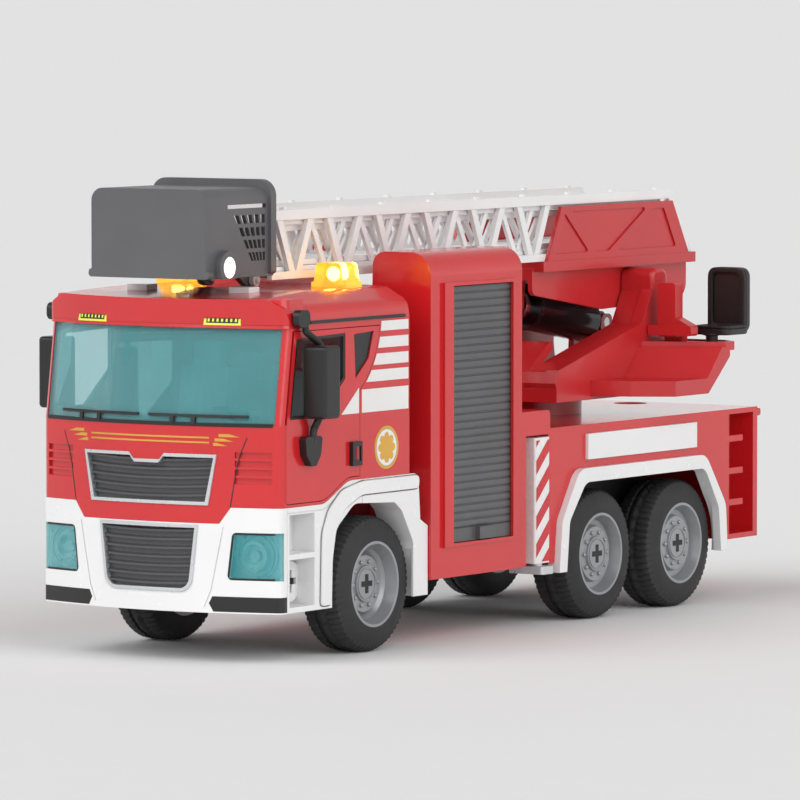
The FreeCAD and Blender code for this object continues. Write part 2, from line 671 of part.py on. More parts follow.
def cab_interior():
    """Floor, dashboard and two seats, moulded in one piece."""
    floor = box((5.0 - HALF, HALF - 5.0), (-237.0, CAB_REAR - WALL), (CAB_BASE + SILL + 0.6, 89.0))
    dash = cab_block([(100.0, 0, HALF), (126.0, 0, HALF)], WALL + 3.2)
    dash = dash.common(box((5.0 - HALF, HALF - 5.0), (-262.0, -229.0), (100.0, 126.0)))
    column = box((24.0, 41.0), (-240.0, -230.0), (88.0, 110.0))
    pieces = [floor, dash, column]
    for x in (-36.0, 36.0):
        pieces.append(box((x - 17, x + 17), (-188.0, -150.0), (88.0, 108.0)))
        pieces.append(prism_x([(-159.0, 106.0), (-152.0, 152.0), (-143.0, 152.0), (-149.0, 106.0)], (x - 16, x + 16)))
        pieces.append(prism_x([(-151.0, 150.0), (-150.0, 166.0), (-142.5, 166.0), (-143.5, 150.0)], (x - 9, x + 9)))
    solid = fuse(*pieces)
    axis = steering_axis()
    bore = rod(axis[0], axis[1], 2.2 + RUN)
    wing = above_wing(0.0, (WING_IN, HALF))
    save("cab_interior", cut(solid, bore, wing, mirrored(wing)))


STEER_X = 32.4
STEER_Y = -222.0
STEER_Z = 132.0
STEER_TILT = 18.0


def steering_axis():
    """The lower and upper end of the steering shaft."""
    t = math.radians(STEER_TILT)
    low = 22.0
    foot = (STEER_X, STEER_Y - low * math.sin(t), STEER_Z - low * math.cos(t))
    return foot, (STEER_X, STEER_Y, STEER_Z)


def steering_wheel():
    """Rim, three spokes, hub and shaft."""
    foot, top = steering_axis()
    axis = V(*top) - V(*foot)
    axis.normalize()
    ring = Part.makeTorus(12.0, 1.5, V(*top), axis)
    hub = Part.makeCylinder(3.2, 3.0, V(*top) - axis * 2.0, axis)
    shaft = Part.makeCylinder(2.2, 22.0, V(*foot), axis)
    pieces = [ring, hub, shaft]
    for turn in (90, 210, 330):
        spoke = box((0, 12.0), (-1.2, 1.2), (-0.9, 0.9))
        spoke.rotate(V(0, 0, 0), V(0, 0, 1), turn)
        spoke.rotate(V(0, 0, 0), V(1, 0, 0), -STEER_TILT)
        spoke.translate(V(*top))
        pieces.append(spoke)
    save("steering_wheel", fuse(*pieces))


# ---------------------------------------------------------------- doors and mirrors
def door():
    """The left door: a panel with a round front edge on the hinge pin and two windows."""
    inner = HALF - DOOR_T
    panel = door_region(GAP).common(box((inner, HALF), (-300, 0), (0, 300)))
    square_edge = box((inner - 1, HALF + 1), (HINGE_Y - BARREL_R - 1, HINGE_Y), (0, BELT_Z))
    low = CAB_BASE + SILL + GAP
    barrel = rod((HINGE_X, HINGE_Y, low), (HINGE_X, HINGE_Y, BELT_Z), BARREL_R)
    panel = fuse(panel.cut(square_edge), barrel)
    y0 = HINGE_Y - 0.1
    lean = (DOOR_TOP - BELT_Z) / (EAVES_Z - BELT_Z) * LEAN
    relief = prism_x([(-250.0, BELT_Z), (y0, BELT_Z), (y0 + lean, DOOR_TOP), (-250.0, DOOR_TOP)], (inner - 1, HALF + 1))
    window = prism_x(WINDOW, (inner - 1, HALF + 1))
    quarter = prism_x(QUARTER, (inner - 1, HALF + 1))
    bore = rod((HINGE_X, HINGE_Y, low - 1), (HINGE_X, HINGE_Y, 120.5), PIN_R + RUN)
    return cut(panel, window, quarter, bore, relief)


def shrunk(points, amount, x, radii=None):
    """A block of a (y, z) outline drawn in by amount."""
    wire = rounded_wire(points, lambda a, b: V(x[0], a, b), 0.0, radii)
    return Part.Face(wire).makeOffset2D(-amount, 2).extrude(V(x[1] - x[0], 0, 0))


def door_trim():
    """Black window frame, quarter pane and the door handle."""
    frame = prism_x(WINDOW, (HALF - 2.4, HALF - 0.2)).cut(shrunk(WINDOW, 1.6, (HALF - 3, HALF + 1)))
    pane = prism_x(QUARTER, (HALF - 2.2, HALF - 0.8))
    grip = box((HALF, HALF + 2.4), (-180.5, -171.2), (103.5, 116.5))
    grip = grip.cut(box((HALF - 1, HALF + 1.2), (-178.6, -171.0), (106.0, 114.0)))
    grip = grip.cut(box((HALF - 1, HALF + 3), (-177.6, -172.6), (106.0, 114.0)))
    return [frame, pane, grip]


def mirror():
    """Mirror head on a lower bracket, with an upper arm that ends in a round boss."""
    head = box((HALF + 1.5, HALF + 16.4), (-228.8, -213.0), (131.7, 170.8))
    head = head.makeFillet(2.2, head.Edges)
    boss = prism_x([(-236.5, 180.6), (-236.5, 190.0), (-225.5, 190.0), (-225.5, 180.6)], (HALF + 0.8, HALF + 4.8), radius=3.6)
    upper = [rod((HALF + 2.8, -228.5, 184.0), (HALF + 3.2, -227.0, 178.0), 1.9), rod((HALF + 3.2, -227.0, 178.0), (HALF + 6.5, -219.0, 171.5), 1.9),
             rod((HALF + 6.5, -219.0, 171.5), (HALF + 7.5, -218.0, 168.0), 1.9)]
    foot = prism_x([(-229.5, 122.0), (-213.0, 122.0), (-214.5, 112.0), (-219.0, 106.0), (-223.5, 106.0),
                    (-228.5, 112.0)], (HALF, HALF + 4.4), radius=2.0)
    lower = [rod((HALF + 2.5, -221.0, 118.0), (HALF + 2.8, -219.0, 126.0), 2.0), rod((HALF + 2.8, -219.0, 126.0), (HALF + 6.5, -217.5, 134.0), 2.0)]
    joints = [Part.makeSphere(1.9, V(HALF + 3.2, -227.0, 178.0)), Part.makeSphere(1.9, V(HALF + 6.5, -219.0, 171.5)),
              Part.makeSphere(2.0, V(HALF + 2.8, -219.0, 126.0))]
    return fuse(head, boss, foot, *upper, *lower, *joints)


def doors():
    pin = rod((HINGE_X, HINGE_Y, CAB_BASE), (HINGE_X, HINGE_Y, 120.0), PIN_R)
    save("hinge_pins", *pair(pin))
    for name, shape in zip(("left", "right"), pair(door())):
        save("door_" + name, shape)
    trims = [pair(piece) for piece in door_trim()]
    for index, name in enumerate(("left", "right")):
        save("door_trim_" + name, *[both[index] for both in trims])
    for name, shape in zip(("left", "right"), pair(mirror())):
        save("mirror_" + name, shape)


# ---------------------------------------------------------------- equipment cabinets
def cabinet_profile(inset):
    """The cabinet seen from the front, (x, z), drawn in by a wall."""
    i = inset
    return [(CABINET_IN_LOW + i, CABINET_Z[0] + i), (CABINET_IN_HIGH + i, CABINET_Z[1] - i),
            (CABINET_OUT - i, CABINET_Z[1] - i), (CABINET_OUT - i, CABINET_Z[0] + i)]


def cabinet():
    """A tall hollow cabinet with a framed shutter opening and side grooves."""
    t = CABINET_WALL
    body = prism_y(cabinet_profile(0.0), CABINET_Y, radii={1: 8.0, 2: 13.0})
    space = prism_y(cabinet_profile(t), (CABINET_Y[0] + t, CABINET_Y[1] - t), radii={1: 5.0, 2: 10.0})
    frame = box((CABINET_OUT - 1, TRIM_OUT), (-90.7, -17.0), (52.8, 199.0))
    opening = box((CABINET_OUT - 6, TRIM_OUT + 1), SHUTTER_Y, SHUTTER_Z)
    grooves = box((SHUTTER_X - 0.3, SHUTTER_X + SHUTTER_T + 0.3), (SHUTTER_Y[0] - GROOVE_D, SHUTTER_Y[1] + GROOVE_D),
                  SHUTTER_Z)
    return cut(body.fuse(frame), space, opening, grooves).removeSplitter()


def shutters():
    """Slatted curtain and bottom bar with its latch, in the side grooves."""
    tongue_y = (SHUTTER_Y[0] - GROOVE_D + 0.3, SHUTTER_Y[1] + GROOVE_D - 0.3)
    slat_x = (SHUTTER_X, SHUTTER_X + SHUTTER_T)
    bar_z = (SHUTTER_Z[0] + 0.2, SHUTTER_Z[0] + 0.2 + BAR_H)
    curtain = box(slat_x, tongue_y, (bar_z[1], SHUTTER_Z[1] - 0.2))
    bottom = box(slat_x, tongue_y, bar_z)
    latch = box((slat_x[1], TRIM_OUT + 0.8), (-56.0, -41.0), (bar_z[0] + 0.6, bar_z[1]))
    for name, shape in zip(("left", "right"), pair(curtain)):
        save("shutter_curtain_" + name, shape)
    for name, shape in zip(("left", "right"), pair(fuse(bottom, latch))):
        save("shutter_bar_" + name, shape)


# ---------------------------------------------------------------- rear body
REAR_ARCH_OUT = [(29.0, 30.5), (32.0, 59.5), (51.0, 88.0), (191.0, 88.0), (214.0, 57.7), (216.0, 30.5)]
REAR_ARCH_IN = [(37.0, 30.5), (40.0, 59.0), (57.5, 80.0), (190.0, 80.0), (206.0, 56.2), (208.5, 30.5)]


def rear_body():
    """Deck and side walls behind the cabinets, with arches, ladder bays and tail panel."""
    y0 = CABINET_Y[1]
    outer = box((-HALF, HALF), (y0, BODY_REAR), (BODY_Z, DECK_Z))
    inner = box((-HALF + WALL, HALF - WALL), (y0 + WALL, BODY_REAR - 5), (BODY_Z - 1, DECK_Z - 3))
    body = outer.cut(inner)
    arch = prism_x(REAR_ARCH_OUT, (-HALF - 1, HALF + 1), radii={1: 12.0, 2: 12.0, 3: 12.0, 4: 12.0})
    body = body.cut(arch)
    bay = box((HALF - BAY_DEPTH, HALF + 1), BAY_Y, (BODY_Z + 3, DECK_Z - 3))
    bay_wall = box((HALF - BAY_DEPTH - WALL, HALF - WALL), (BAY_Y[0] - WALL, BAY_Y[1]), (BODY_Z, DECK_Z - 3))
    body = body.fuse([*pair(bay_wall)]).cut([*pair(bay)])
    rungs = []
    for z in RUNG_Z:
        rungs += pair(box((HALF - BAY_DEPTH, HALF - 0.6), (BAY_Y[0], 241.0), (z - 1.8, z + 1.8)))
    lip = box((-HALF, HALF), (BODY_REAR - 1, BODY_REAR + LIP_OUT), (DECK_Z - 5.5, DECK_Z - 1.0))
    lip = lip.makeFillet(1.8, [e for e in lip.Edges if e.BoundBox.YMin > BODY_REAR + LIP_OUT - 0.1 and e.Length > 50])
    shoulder = prism_x([(y0, DECK_Z - 1), (y0, SHOULDER_Z), (SHOULDER_Y, SHOULDER_Z), (SHOULDER_Y, DECK_Z - 1)],
                       (HALF - 18.0, HALF), radii={2: 3.0})
    recess_x = (LEG_X[0] - 1.2, HALF + 1)
    leg_recess = box(recess_x, (LEG_Y[0] - 7.0, LEG_Y[1] + 1.2), (BODY_Z - 1, LEG_Z[1] + 1.2))
    recess_wall = box((LEG_X[0] - 1.2 - WALL, HALF - 1), (LEG_Y[0] - 7.0 - WALL, LEG_Y[1] + 1.2 + WALL),
                      (BODY_Z, DECK_Z - 1))
    sleeve = box((BEAM_IN - 4, LEG_X[0] - 2), (LEG_Y[0] - 1, LEG_Y[1] + 1), (BEAM_Z - BEAM_H / 2 - 2, BEAM_Z + BEAM_H / 2 + 2))
    beam_hole = box((BEAM_IN - 5, HALF), (LEG_Y[0] + 2 - GAP, LEG_Y[1] - 2 + GAP),
                    (BEAM_Z - BEAM_H / 2 - GAP, BEAM_Z + BEAM_H / 2 + GAP))
    body = body.fuse([*pair(shoulder), *pair(recess_wall), *pair(sleeve), *rungs, lip])
    body = body.cut([*pair(leg_recess), *pair(beam_hole)])
    bridge = cut(box((-PAN_HALF + 0.5, PAN_HALF - 0.5), (-100.0, y0), (PAN_Z + PAN_T, DECK_Z)),
                 box((-PAN_HALF + 3, PAN_HALF - 3), (-97.0, y0 + 1), (PAN_Z + PAN_T - 1, DECK_Z - 3)))
    body = body.fuse(bridge)
    dimple = rod((0, 241.0, DECK_Z - 1.6), (0, 241.0, DECK_Z + 1), 10.0)
    keep_out = box((-PAN_HALF - 0.2, PAN_HALF + 0.2), (-110.0, FRAME_REAR + 0.2), (PAN_Z - 14, PAN_Z + PAN_T))
    body = cut(body, dimple, keep_out).removeSplitter()
    save("rear_body", body)


def rear_trim():
    """White wheel arches and white sign boards."""
    band = prism_x(REAR_ARCH_OUT, (HALF - 4.0, HALF + 4.0), radii={1: 12.0, 2: 12.0, 3: 12.0, 4: 12.0})
    hole = prism_x(REAR_ARCH_IN, (HALF - 6.0, HALF + 5.0), radii={1: 9.0, 2: 9.0, 3: 9.0, 4: 9.0})
    floor_cut = box((HALF - 18, HALF + 12), (0, 250), (20.0, 30.5))
    spaces = [wheel_space(AXLE_Y["middle"]), wheel_space(AXLE_Y["rear"])]
    save("rear_fenders", *pair(cut(band, hole, floor_cut, *spaces)))
    board = box((HALF, HALF + BOARD_T), (63.0, 184.0), (92.6, 107.2))
    save("sign_boards", *pair(board))


def outriggers():
    """Sliding leg housings on beams, each with a foot on a round ram."""
    leg = box(LEG_X, LEG_Y, LEG_Z)
    leg = leg.makeFillet(1.5, [e for e in leg.Edges if e.BoundBox.ZLength > 50])
    beam = box((BEAM_IN, LEG_X[0] + 1), (LEG_Y[0] + 2, LEG_Y[1] - 2), (BEAM_Z - BEAM_H / 2, BEAM_Z + BEAM_H / 2))
    middle = ((LEG_X[0] + LEG_X[1]) / 2, (LEG_Y[0] + LEG_Y[1]) / 2)
    bore = rod((*middle, LEG_Z[0] - 1), (*middle, LEG_Z[0] + 42.0), RAM_LEG_R + RUN)
    housing = cut(fuse(leg, beam), bore)
    plate = box(FOOT_X, FOOT_Y, FOOT_Z)
    plate = plate.makeFillet(2.0, [e for e in plate.Edges if e.BoundBox.ZLength > 3])
    piston = rod((*middle, FOOT_Z[1] - 1), (*middle, LEG_Z[0] + 40.0), RAM_LEG_R)
    foot = fuse(plate, piston)
    for name, shape in zip(("left", "right"), pair(housing)):
        save("outrigger_" + name, shape)
    for name, shape in zip(("left", "right"), pair(foot)):
        save("outrigger_foot_" + name, shape)


# ---------------------------------------------------------------- turntable and turret
def slewing_post():
    """The fixed turntable bearing on the deck with its centre spigot."""
    drum = rod((0, SLEW_Y, DECK_Z), (0, SLEW_Y, TURRET_Z - 0.3), SLEW_R)
    spigot = rod((0, SLEW_Y, TURRET_Z - 1), (0, SLEW_Y, TURRET_FLOOR - 1.5), SPIGOT_R)
    save("slewing_post", fuse(drum, spigot))


def cheek(x, drop, tail):
    """A side plate of the turret between two x values; drop lowers its sloping edge."""
    ear_front = PIVOT_Y - EAR_HALF
    ear_back = PIVOT_Y + EAR_HALF
    points = [(81.0, TURRET_Z), (75.5, 134.0), (79.5, 141.5 - drop), (172.0, 165.0 - drop),
              (ear_front, 184.0 - drop), (ear_front, EAR_TOP), (ear_back, EAR_TOP), (ear_back, 150.0), (tail, TURRET_Z)]
    return prism_x(points, x, radii={5: EAR_CORNER_R, 6: EAR_CORNER_R})


def turret_frame():
    """Floor, two stepped cheeks with ears for the boom, and the sloping nose."""
    floor = prism_z([(-CHEEK_OUT, 77.0), (0, 73.5), (CHEEK_OUT, 77.0), (CHEEK_OUT, 206.0), (-CHEEK_OUT, 206.0)],
                    (TURRET_Z, TURRET_FLOOR))
    left = fuse(cheek((CHEEK_STEP, CHEEK_OUT), 0.0, 205.0), cheek((CHEEK_IN, CHEEK_STEP + 1), 1.2, 205.0))
    top_edges = [e for e in left.Edges if e.BoundBox.ZMin > EAR_TOP - EAR_CORNER_R - 0.1 and e.BoundBox.XLength < 0.1
                 and abs(e.BoundBox.XMin - CHEEK_OUT) < 0.1]
    left = left.makeFillet(2.5, top_edges)
    nose = prism_x([(76.0, TURRET_Z + 1), (75.5, 134.0), (79.5, 140.0), (104.0, 156.0), (107.0, 156.0),
                    (107.0, 152.0), (86.0, 137.0), (86.0, TURRET_Z + 1)], (-CHEEK_IN, CHEEK_IN))
    lug = prism_x([(RAM_FOOT[0] - 9, TURRET_FLOOR - 1), (RAM_FOOT[0] - 6, RAM_FOOT[1] + 5),
                   (RAM_FOOT[0] + 6, RAM_FOOT[1] + 5), (RAM_FOOT[0] + 6.5, TURRET_FLOOR - 1)],
                  (EYE_HALF + GAP, EYE_HALF + 4.0), radii={1: 4.0, 2: 4.0})
    frame = fuse(floor, left, mirrored(left), nose, lug, mirrored(lug))
    frame = cut(frame, *pair(pivot_stub()),
                rod((-20, *RAM_FOOT), (20, *RAM_FOOT), PIVOT_R),
                rod((0, SLEW_Y, TURRET_Z - 1), (0, SLEW_Y, TURRET_FLOOR - 1.2), SPIGOT_R + RUN))
    save("turret_frame", frame)


def pivot_stub():
    """The left one of the boom's two short pins; the ram passes between them."""
    return rod((PIN_IN, PIVOT_Y, PIVOT_Z), (CHEEK_STEP, PIVOT_Y, PIVOT_Z), PIVOT_R)


def pivot_pins():
    """The boom's two pins and the ram's foot pin."""
    ram = rod((-EYE_HALF - 4, *RAM_FOOT), (EYE_HALF + 4, *RAM_FOOT), PIVOT_R)
    save("boom_pivot_pin", *pair(pivot_stub()), ram)


def operator_platform():
    """Ledge, sloping front and railed deck beside the left cheek."""
    x_in = CHEEK_OUT
    x_out = PLATFORM_OUT
    ledge = prism_z([(x_in, 114.0), ((x_in + x_out) / 2, 122.0), (x_out, 135.3), (x_out, 172.0), (x_in, 190.0)],
                    (125.0, 133.9))
    sections = []
    for x, shift in ((x_in, -21.0), (x_out, 0.0)):
        points = [(170.5, 133.0), (172.8, 125.2), (197.0, 145.5), (197.0, 151.0), (188.0, 151.0)]
        wire = Part.makePolygon([V(x, y + shift, z) for y, z in points + points[:1]])
        sections.append(wire)
    slope = Part.makeLoft(sections, True, True)
    deck = prism_z([(x_in, 171.0), (x_out, 192.2), (x_out, 202.0), (84.0, 212.0), (x_in, 212.0)],
                   (PLATFORM_TOP - RIM_H, PLATFORM_TOP))
    well = prism_z([(x_in + 3, 175.5), (x_out - 2.6, 194.5), (x_out - 2.6, 201.0), (83.0, 209.6), (x_in + 3, 209.6)],
                   (PLATFORM_TOP - 1.6, PLATFORM_TOP + 1))
    return fuse(ledge, slope, deck).cut(well)


def operator_station():
    """Platform, control stand and seat."""
    deck_top = PLATFORM_TOP - 1.6
    platform = operator_platform()
    floor_z = deck_top
    stand = box((56.5, 68.5), (186.0, 192.0), (floor_z, 165.0))
    desk = box((50.6, 80.0), (176.5, 184.5), (157.5, 163.5))
    desk = desk.makeFillet(1.5, [e for e in desk.Edges if e.BoundBox.YLength > 5])
    column = prism_y([(56.5, 163.0), (56.5, 188.0), (68.5, 188.0), (68.5, 168.0), (79.0, 163.0)], (178.0, 186.5),
                     radii={1: 2.0, 2: 2.0})
    neck = box((56.5, 68.5), (180.0, 188.0), (156.5, 165.0))
    save("operator_platform", platform)
    save("control_stand", fuse(stand, desk, column, neck))
    seat_x = (65.5, 90.5)
    seat_z = 157.0
    post = rod((78.0, 204.0, deck_top), (78.0, 204.0, seat_z + 0.5), 3.6)
    pan = prism_z([(seat_x[0], 202.0), (seat_x[1], 202.0), (seat_x[1], 226.0), (seat_x[0], 226.0)],
                  (seat_z, seat_z + 5.0), radius=3.0)
    back = prism_y([(seat_x[0], seat_z + 3), (seat_x[0], 196.0), (seat_x[1], 196.0), (seat_x[1], seat_z + 3)],
                   (220.0, 227.0), radii={1: 5.0, 2: 5.0})
    save("operator_seat", fuse(post, pan, back))


# ---------------------------------------------------------------- lifting ram
def ram_point(distance, side=0.0):
    """A point on the ram's line, measured from its foot towards its head."""
    dy = RAM_HEAD[0] - RAM_FOOT[0]
    dz = RAM_HEAD[1] - RAM_FOOT[1]
    length = math.hypot(dy, dz)
    uy = dy / length
    uz = dz / length
    return (0.0, RAM_FOOT[0] + uy * distance - uz * side, RAM_FOOT[1] + uz * distance + uy * side)


def lifting_ram():
    """Barrel with gland ring on the turret; thick rod towards the boom."""
    length = math.hypot(RAM_HEAD[0] - RAM_FOOT[0], RAM_HEAD[1] - RAM_FOOT[1])
    end = BARREL_START + BARREL_LEN
    eye = rod((-EYE_HALF, *RAM_FOOT), (EYE_HALF, *RAM_FOOT), 6.5)
    neck = rod(ram_point(3.0), ram_point(BARREL_START + 1), 6.4)
    tube = rod(ram_point(BARREL_START), ram_point(end), BARREL_OUT)
    gland = rod(ram_point(end - 3.0), ram_point(end), BARREL_OUT + 0.8)
    bore = rod(ram_point(BARREL_START + 3), ram_point(end + 1), ROD_R + RUN)
    hole = rod((-EYE_HALF - 1, *RAM_FOOT), (EYE_HALF + 1, *RAM_FOOT), PIVOT_R + RUN)
    save("ram_barrel", cut(fuse(eye, neck, tube, gland), bore, hole))
    shaft = rod(ram_point(BARREL_START + 4), ram_point(length - 9.0), ROD_R)
    tip = rod(ram_point(length - 10.0), ram_point(length), 4.2)
    head = rod((-5.0, *RAM_HEAD), (5.0, *RAM_HEAD), 6.0)
    save("ram_rod", fuse(shaft, tip, head))


# ---------------------------------------------------------------- boom, ladder, basket
def boom_frame():
    """Two deep side plates under a flat top, with the clevis for the ram's head."""
    profile = [(86.0, BOOM_TOP), (86.0, 186.0), (88.5, 183.5), (163.0, 172.5), (200.0, 173.5), (258.5, 177.0),
               (258.5, BOOM_TOP)]
    plate = prism_x(profile, (BOOM_HALF - BOOM_PLATE_T, BOOM_HALF), radii={1: 3.0, 5: 8.0})
    top = box((-LADDER_HALF - PANEL_T, LADDER_HALF + PANEL_T), (88.0, 258.5), (BOOM_TOP, LADDER_LOW))
    clevis = prism_x([(RAM_HEAD[0] - 7, BOOM_TOP + 1), (RAM_HEAD[0] - 7, RAM_HEAD[1] - 3), (RAM_HEAD[0], RAM_HEAD[1] - 7),
                      (RAM_HEAD[0] + 7, RAM_HEAD[1] - 3), (RAM_HEAD[0] + 10, BOOM_TOP + 1)], (6.0, 9.0), radii={2: 5.0})
    stub = rod((6.0, *RAM_HEAD), (11.0, *RAM_HEAD), PIVOT_R)
    front = box((-BOOM_HALF, BOOM_HALF), (86.0, 88.6), (192.0, BOOM_TOP + 2))
    hollow = box((-20.0, 20.0), (97.0, 250.0), (BOOM_TOP - 1, BOOM_TOP + 3.6))
    body = fuse(plate, mirrored(plate), top, front).cut(hollow)
    body = fuse(body, clevis, mirrored(clevis), stub, mirrored(stub),
                box((-9.0, 9.0), (RAM_HEAD[0] - 7, RAM_HEAD[0] + 10), (BOOM_TOP, BOOM_TOP + 4)))
    hole = rod((-60, PIVOT_Y, PIVOT_Z), (60, PIVOT_Y, PIVOT_Z), PIVOT_R + RUN)
    save("boom_frame", body.cut(hole))


def boom_panels():
    """Red trapezoid panels beside the foot of the ladder, pocketed to leave a frame and diagonal ribs."""
    outline = [(92.5, LADDER_LOW), (108.0, 234.0), (232.0, 234.0), (250.5, LADDER_LOW)]
    x = (LADDER_HALF, LADDER_HALF + PANEL_T)
    panel = prism_x(outline, x)
    floor = x[1] - PANEL_POCKET
    low = LADDER_LOW + 4.0
    high = 234.0 - PANEL_RIB
    pockets = [[(98.5, low), (111.5, high - 1), (138.0, low)],
               [(117.0, high), (203.0, high), (160.0, low), (145.0, low)],
               [(167.0, low), (209.0, high - 1), (222.0, high - 1), (236.0, low)]]
    tools = [prism_x(points, (floor, x[1] + 1), radius=1.0) for points in pockets]
    panel = cut(panel, *tools)
    save("boom_panels", *pair(panel))


def truss_side(half, width, y, z, top_h, low_h, phase, pitch, spread, brace):
    """One ladder side: top rail, bottom rail and a row of V braces between them."""
    x = (half - width, half)
    top = box(x, y, (z[1] - top_h, z[1]))
    low = box(x, y, (z[0], z[0] + low_h))
    pieces = [top, low]
    inner = (half - width + 0.3, half - 0.3)
    foot_y = phase
    while foot_y - spread > y[0]:
        for reach in (-spread, spread):
            if foot_y + reach < y[1]:
                pieces.append(bar((foot_y + reach * 0.12, z[0] + 1.5), (foot_y + reach, z[1] - 1.5), inner, brace))
        foot_y -= pitch
    clip = box((x[0] - 1, x[1] + 1), y, z)
    return fuse(*pieces).common(clip)


def ladder_section(half, y, z, width, top_h, low_h, phase, rung_z, rung_r, brace, first_rung=5.0,
                   pitch=TRUSS_PITCH, spread=TRUSS_HALF_TOP):
    """Two truss sides and the round rungs that stand between their bottom rails."""
    side = truss_side(half, width, y, z, top_h, low_h, phase, pitch, spread, brace)
    reach = half - width
    sides = [side, mirrored(side)]
    rungs = []
    count = int((y[1] - y[0] - first_rung - 5) // (pitch / 2))
    for i in range(count + 1):
        rung_y = y[0] + first_rung + i * pitch / 2
        rungs.append(rod((-reach, rung_y, rung_z), (reach, rung_y, rung_z), rung_r))
    return sides, rungs


def ladder_base():
    """The outer ladder section with top posts and slanted white tail."""
    y = (LADDER_FRONT, LADDER_REAR)
    z = (LADDER_LOW, LADDER_TOP)
    sides, rungs = ladder_section(LADDER_HALF, y, z, RAIL_W, TOP_RAIL_H, LOW_RAIL_H, TRUSS_LAST, LADDER_LOW + 1.6, 1.4, BRACE_W,
                            first_rung=14.0)
    tail = prism_x([(LADDER_REAR - 1, LADDER_TOP), (LADDER_REAR, LADDER_TOP), (257.5, LADDER_LOW),
                    (252.0, LADDER_LOW), (231.5, 234.0), (LADDER_REAR - 1, 234.0)], (LADDER_HALF - RAIL_W, LADDER_HALF))
    foot = box((LADDER_HALF - RAIL_W, LADDER_HALF), (LADDER_REAR - 1, 251.0), (LADDER_LOW, LADDER_LOW + LOW_RAIL_H))
    posts = []
    for i in range(9):
        post_y = LADDER_FRONT + 12.0 + i * TRUSS_PITCH
        if post_y < LADDER_REAR - 10:
            posts.append(box((LADDER_HALF - RAIL_W, LADDER_HALF - 0.4), (post_y, post_y + 3.0),
                             (LADDER_TOP - 1, LADDER_TOP + 1.4)))
    side = fuse(sides[0], tail, foot, *posts)
    save("ladder_base", *pair(side), *rungs)


def inner_sections():
    """Two narrower sections that slide forward inside the base."""
    half_mid = LADDER_HALF - RAIL_W - SLIDE_GAP
    low_mid = LADDER_LOW + 1.6 + 1.4 + SLIDE_GAP
    sides, rungs = ladder_section(half_mid, (-180.0, 228.0), (low_mid, 236.0), 2.6, 3.6, 3.0, 70.0, low_mid + 1.4,
                                  1.2, 3.6)
    save("ladder_mid", *sides, *rungs)
    half_fly = half_mid - 2.6 - SLIDE_GAP
    low_fly = low_mid + 1.4 + 1.2 + SLIDE_GAP
    fly_y = (-184.0, 222.0)
    sides, rungs = ladder_section(half_fly, fly_y, (low_fly, 232.0), 2.6, 3.4, 3.0, 84.0, low_fly + 1.4, 1.2, 3.4)
    arm_x = (15.6, 18.6)
    by, bz = BASKET_PIVOT
    arm = prism_x([(by - 3.4, bz - 3.4), (by + 3.4, bz - 3.4), (by + 3.4, low_fly + 2.8), (by - 2.0, low_fly + 2.8)], arm_x,
                  radii={0: 3.0, 1: 3.0})
    reach = half_fly - 2.6
    hanger = box((-reach, reach), (-184.0, by + 3.4), (low_fly, low_fly + 3.0))
    pin = pair(rod((10.0, by, bz), (20.0, by, bz), 1.6))
    clear = [r for r in rungs if r.BoundBox.YMin > by + 3.4]
    save("ladder_fly", *sides, *clear, fuse(hanger, arm, mirrored(arm), *pin))


def lattice(top, bottom, z, columns, rows, reach):
    """Slanted openings through both sides; the field narrows from its top edge to its bottom edge."""
    web = 0.16

    def corner(across, down):
        y0 = top[0] + (bottom[0] - top[0]) * down
        y1 = top[1] + (bottom[1] - top[1]) * down
        return (y0 + (y1 - y0) * across, z[0] + (z[1] - z[0]) * down)

    openings = []
    for row in range(rows):
        for column in range(columns):
            a = (column + web) / columns
            b = (column + 1 - web) / columns
            c = (row + web) / rows
            d = (row + 1 - web) / rows
            points = [corner(a, c), corner(b, c), corner(b, d), corner(a, d)]
            openings.append(prism_x(points, (-reach - 5, reach + 5)))
    return openings


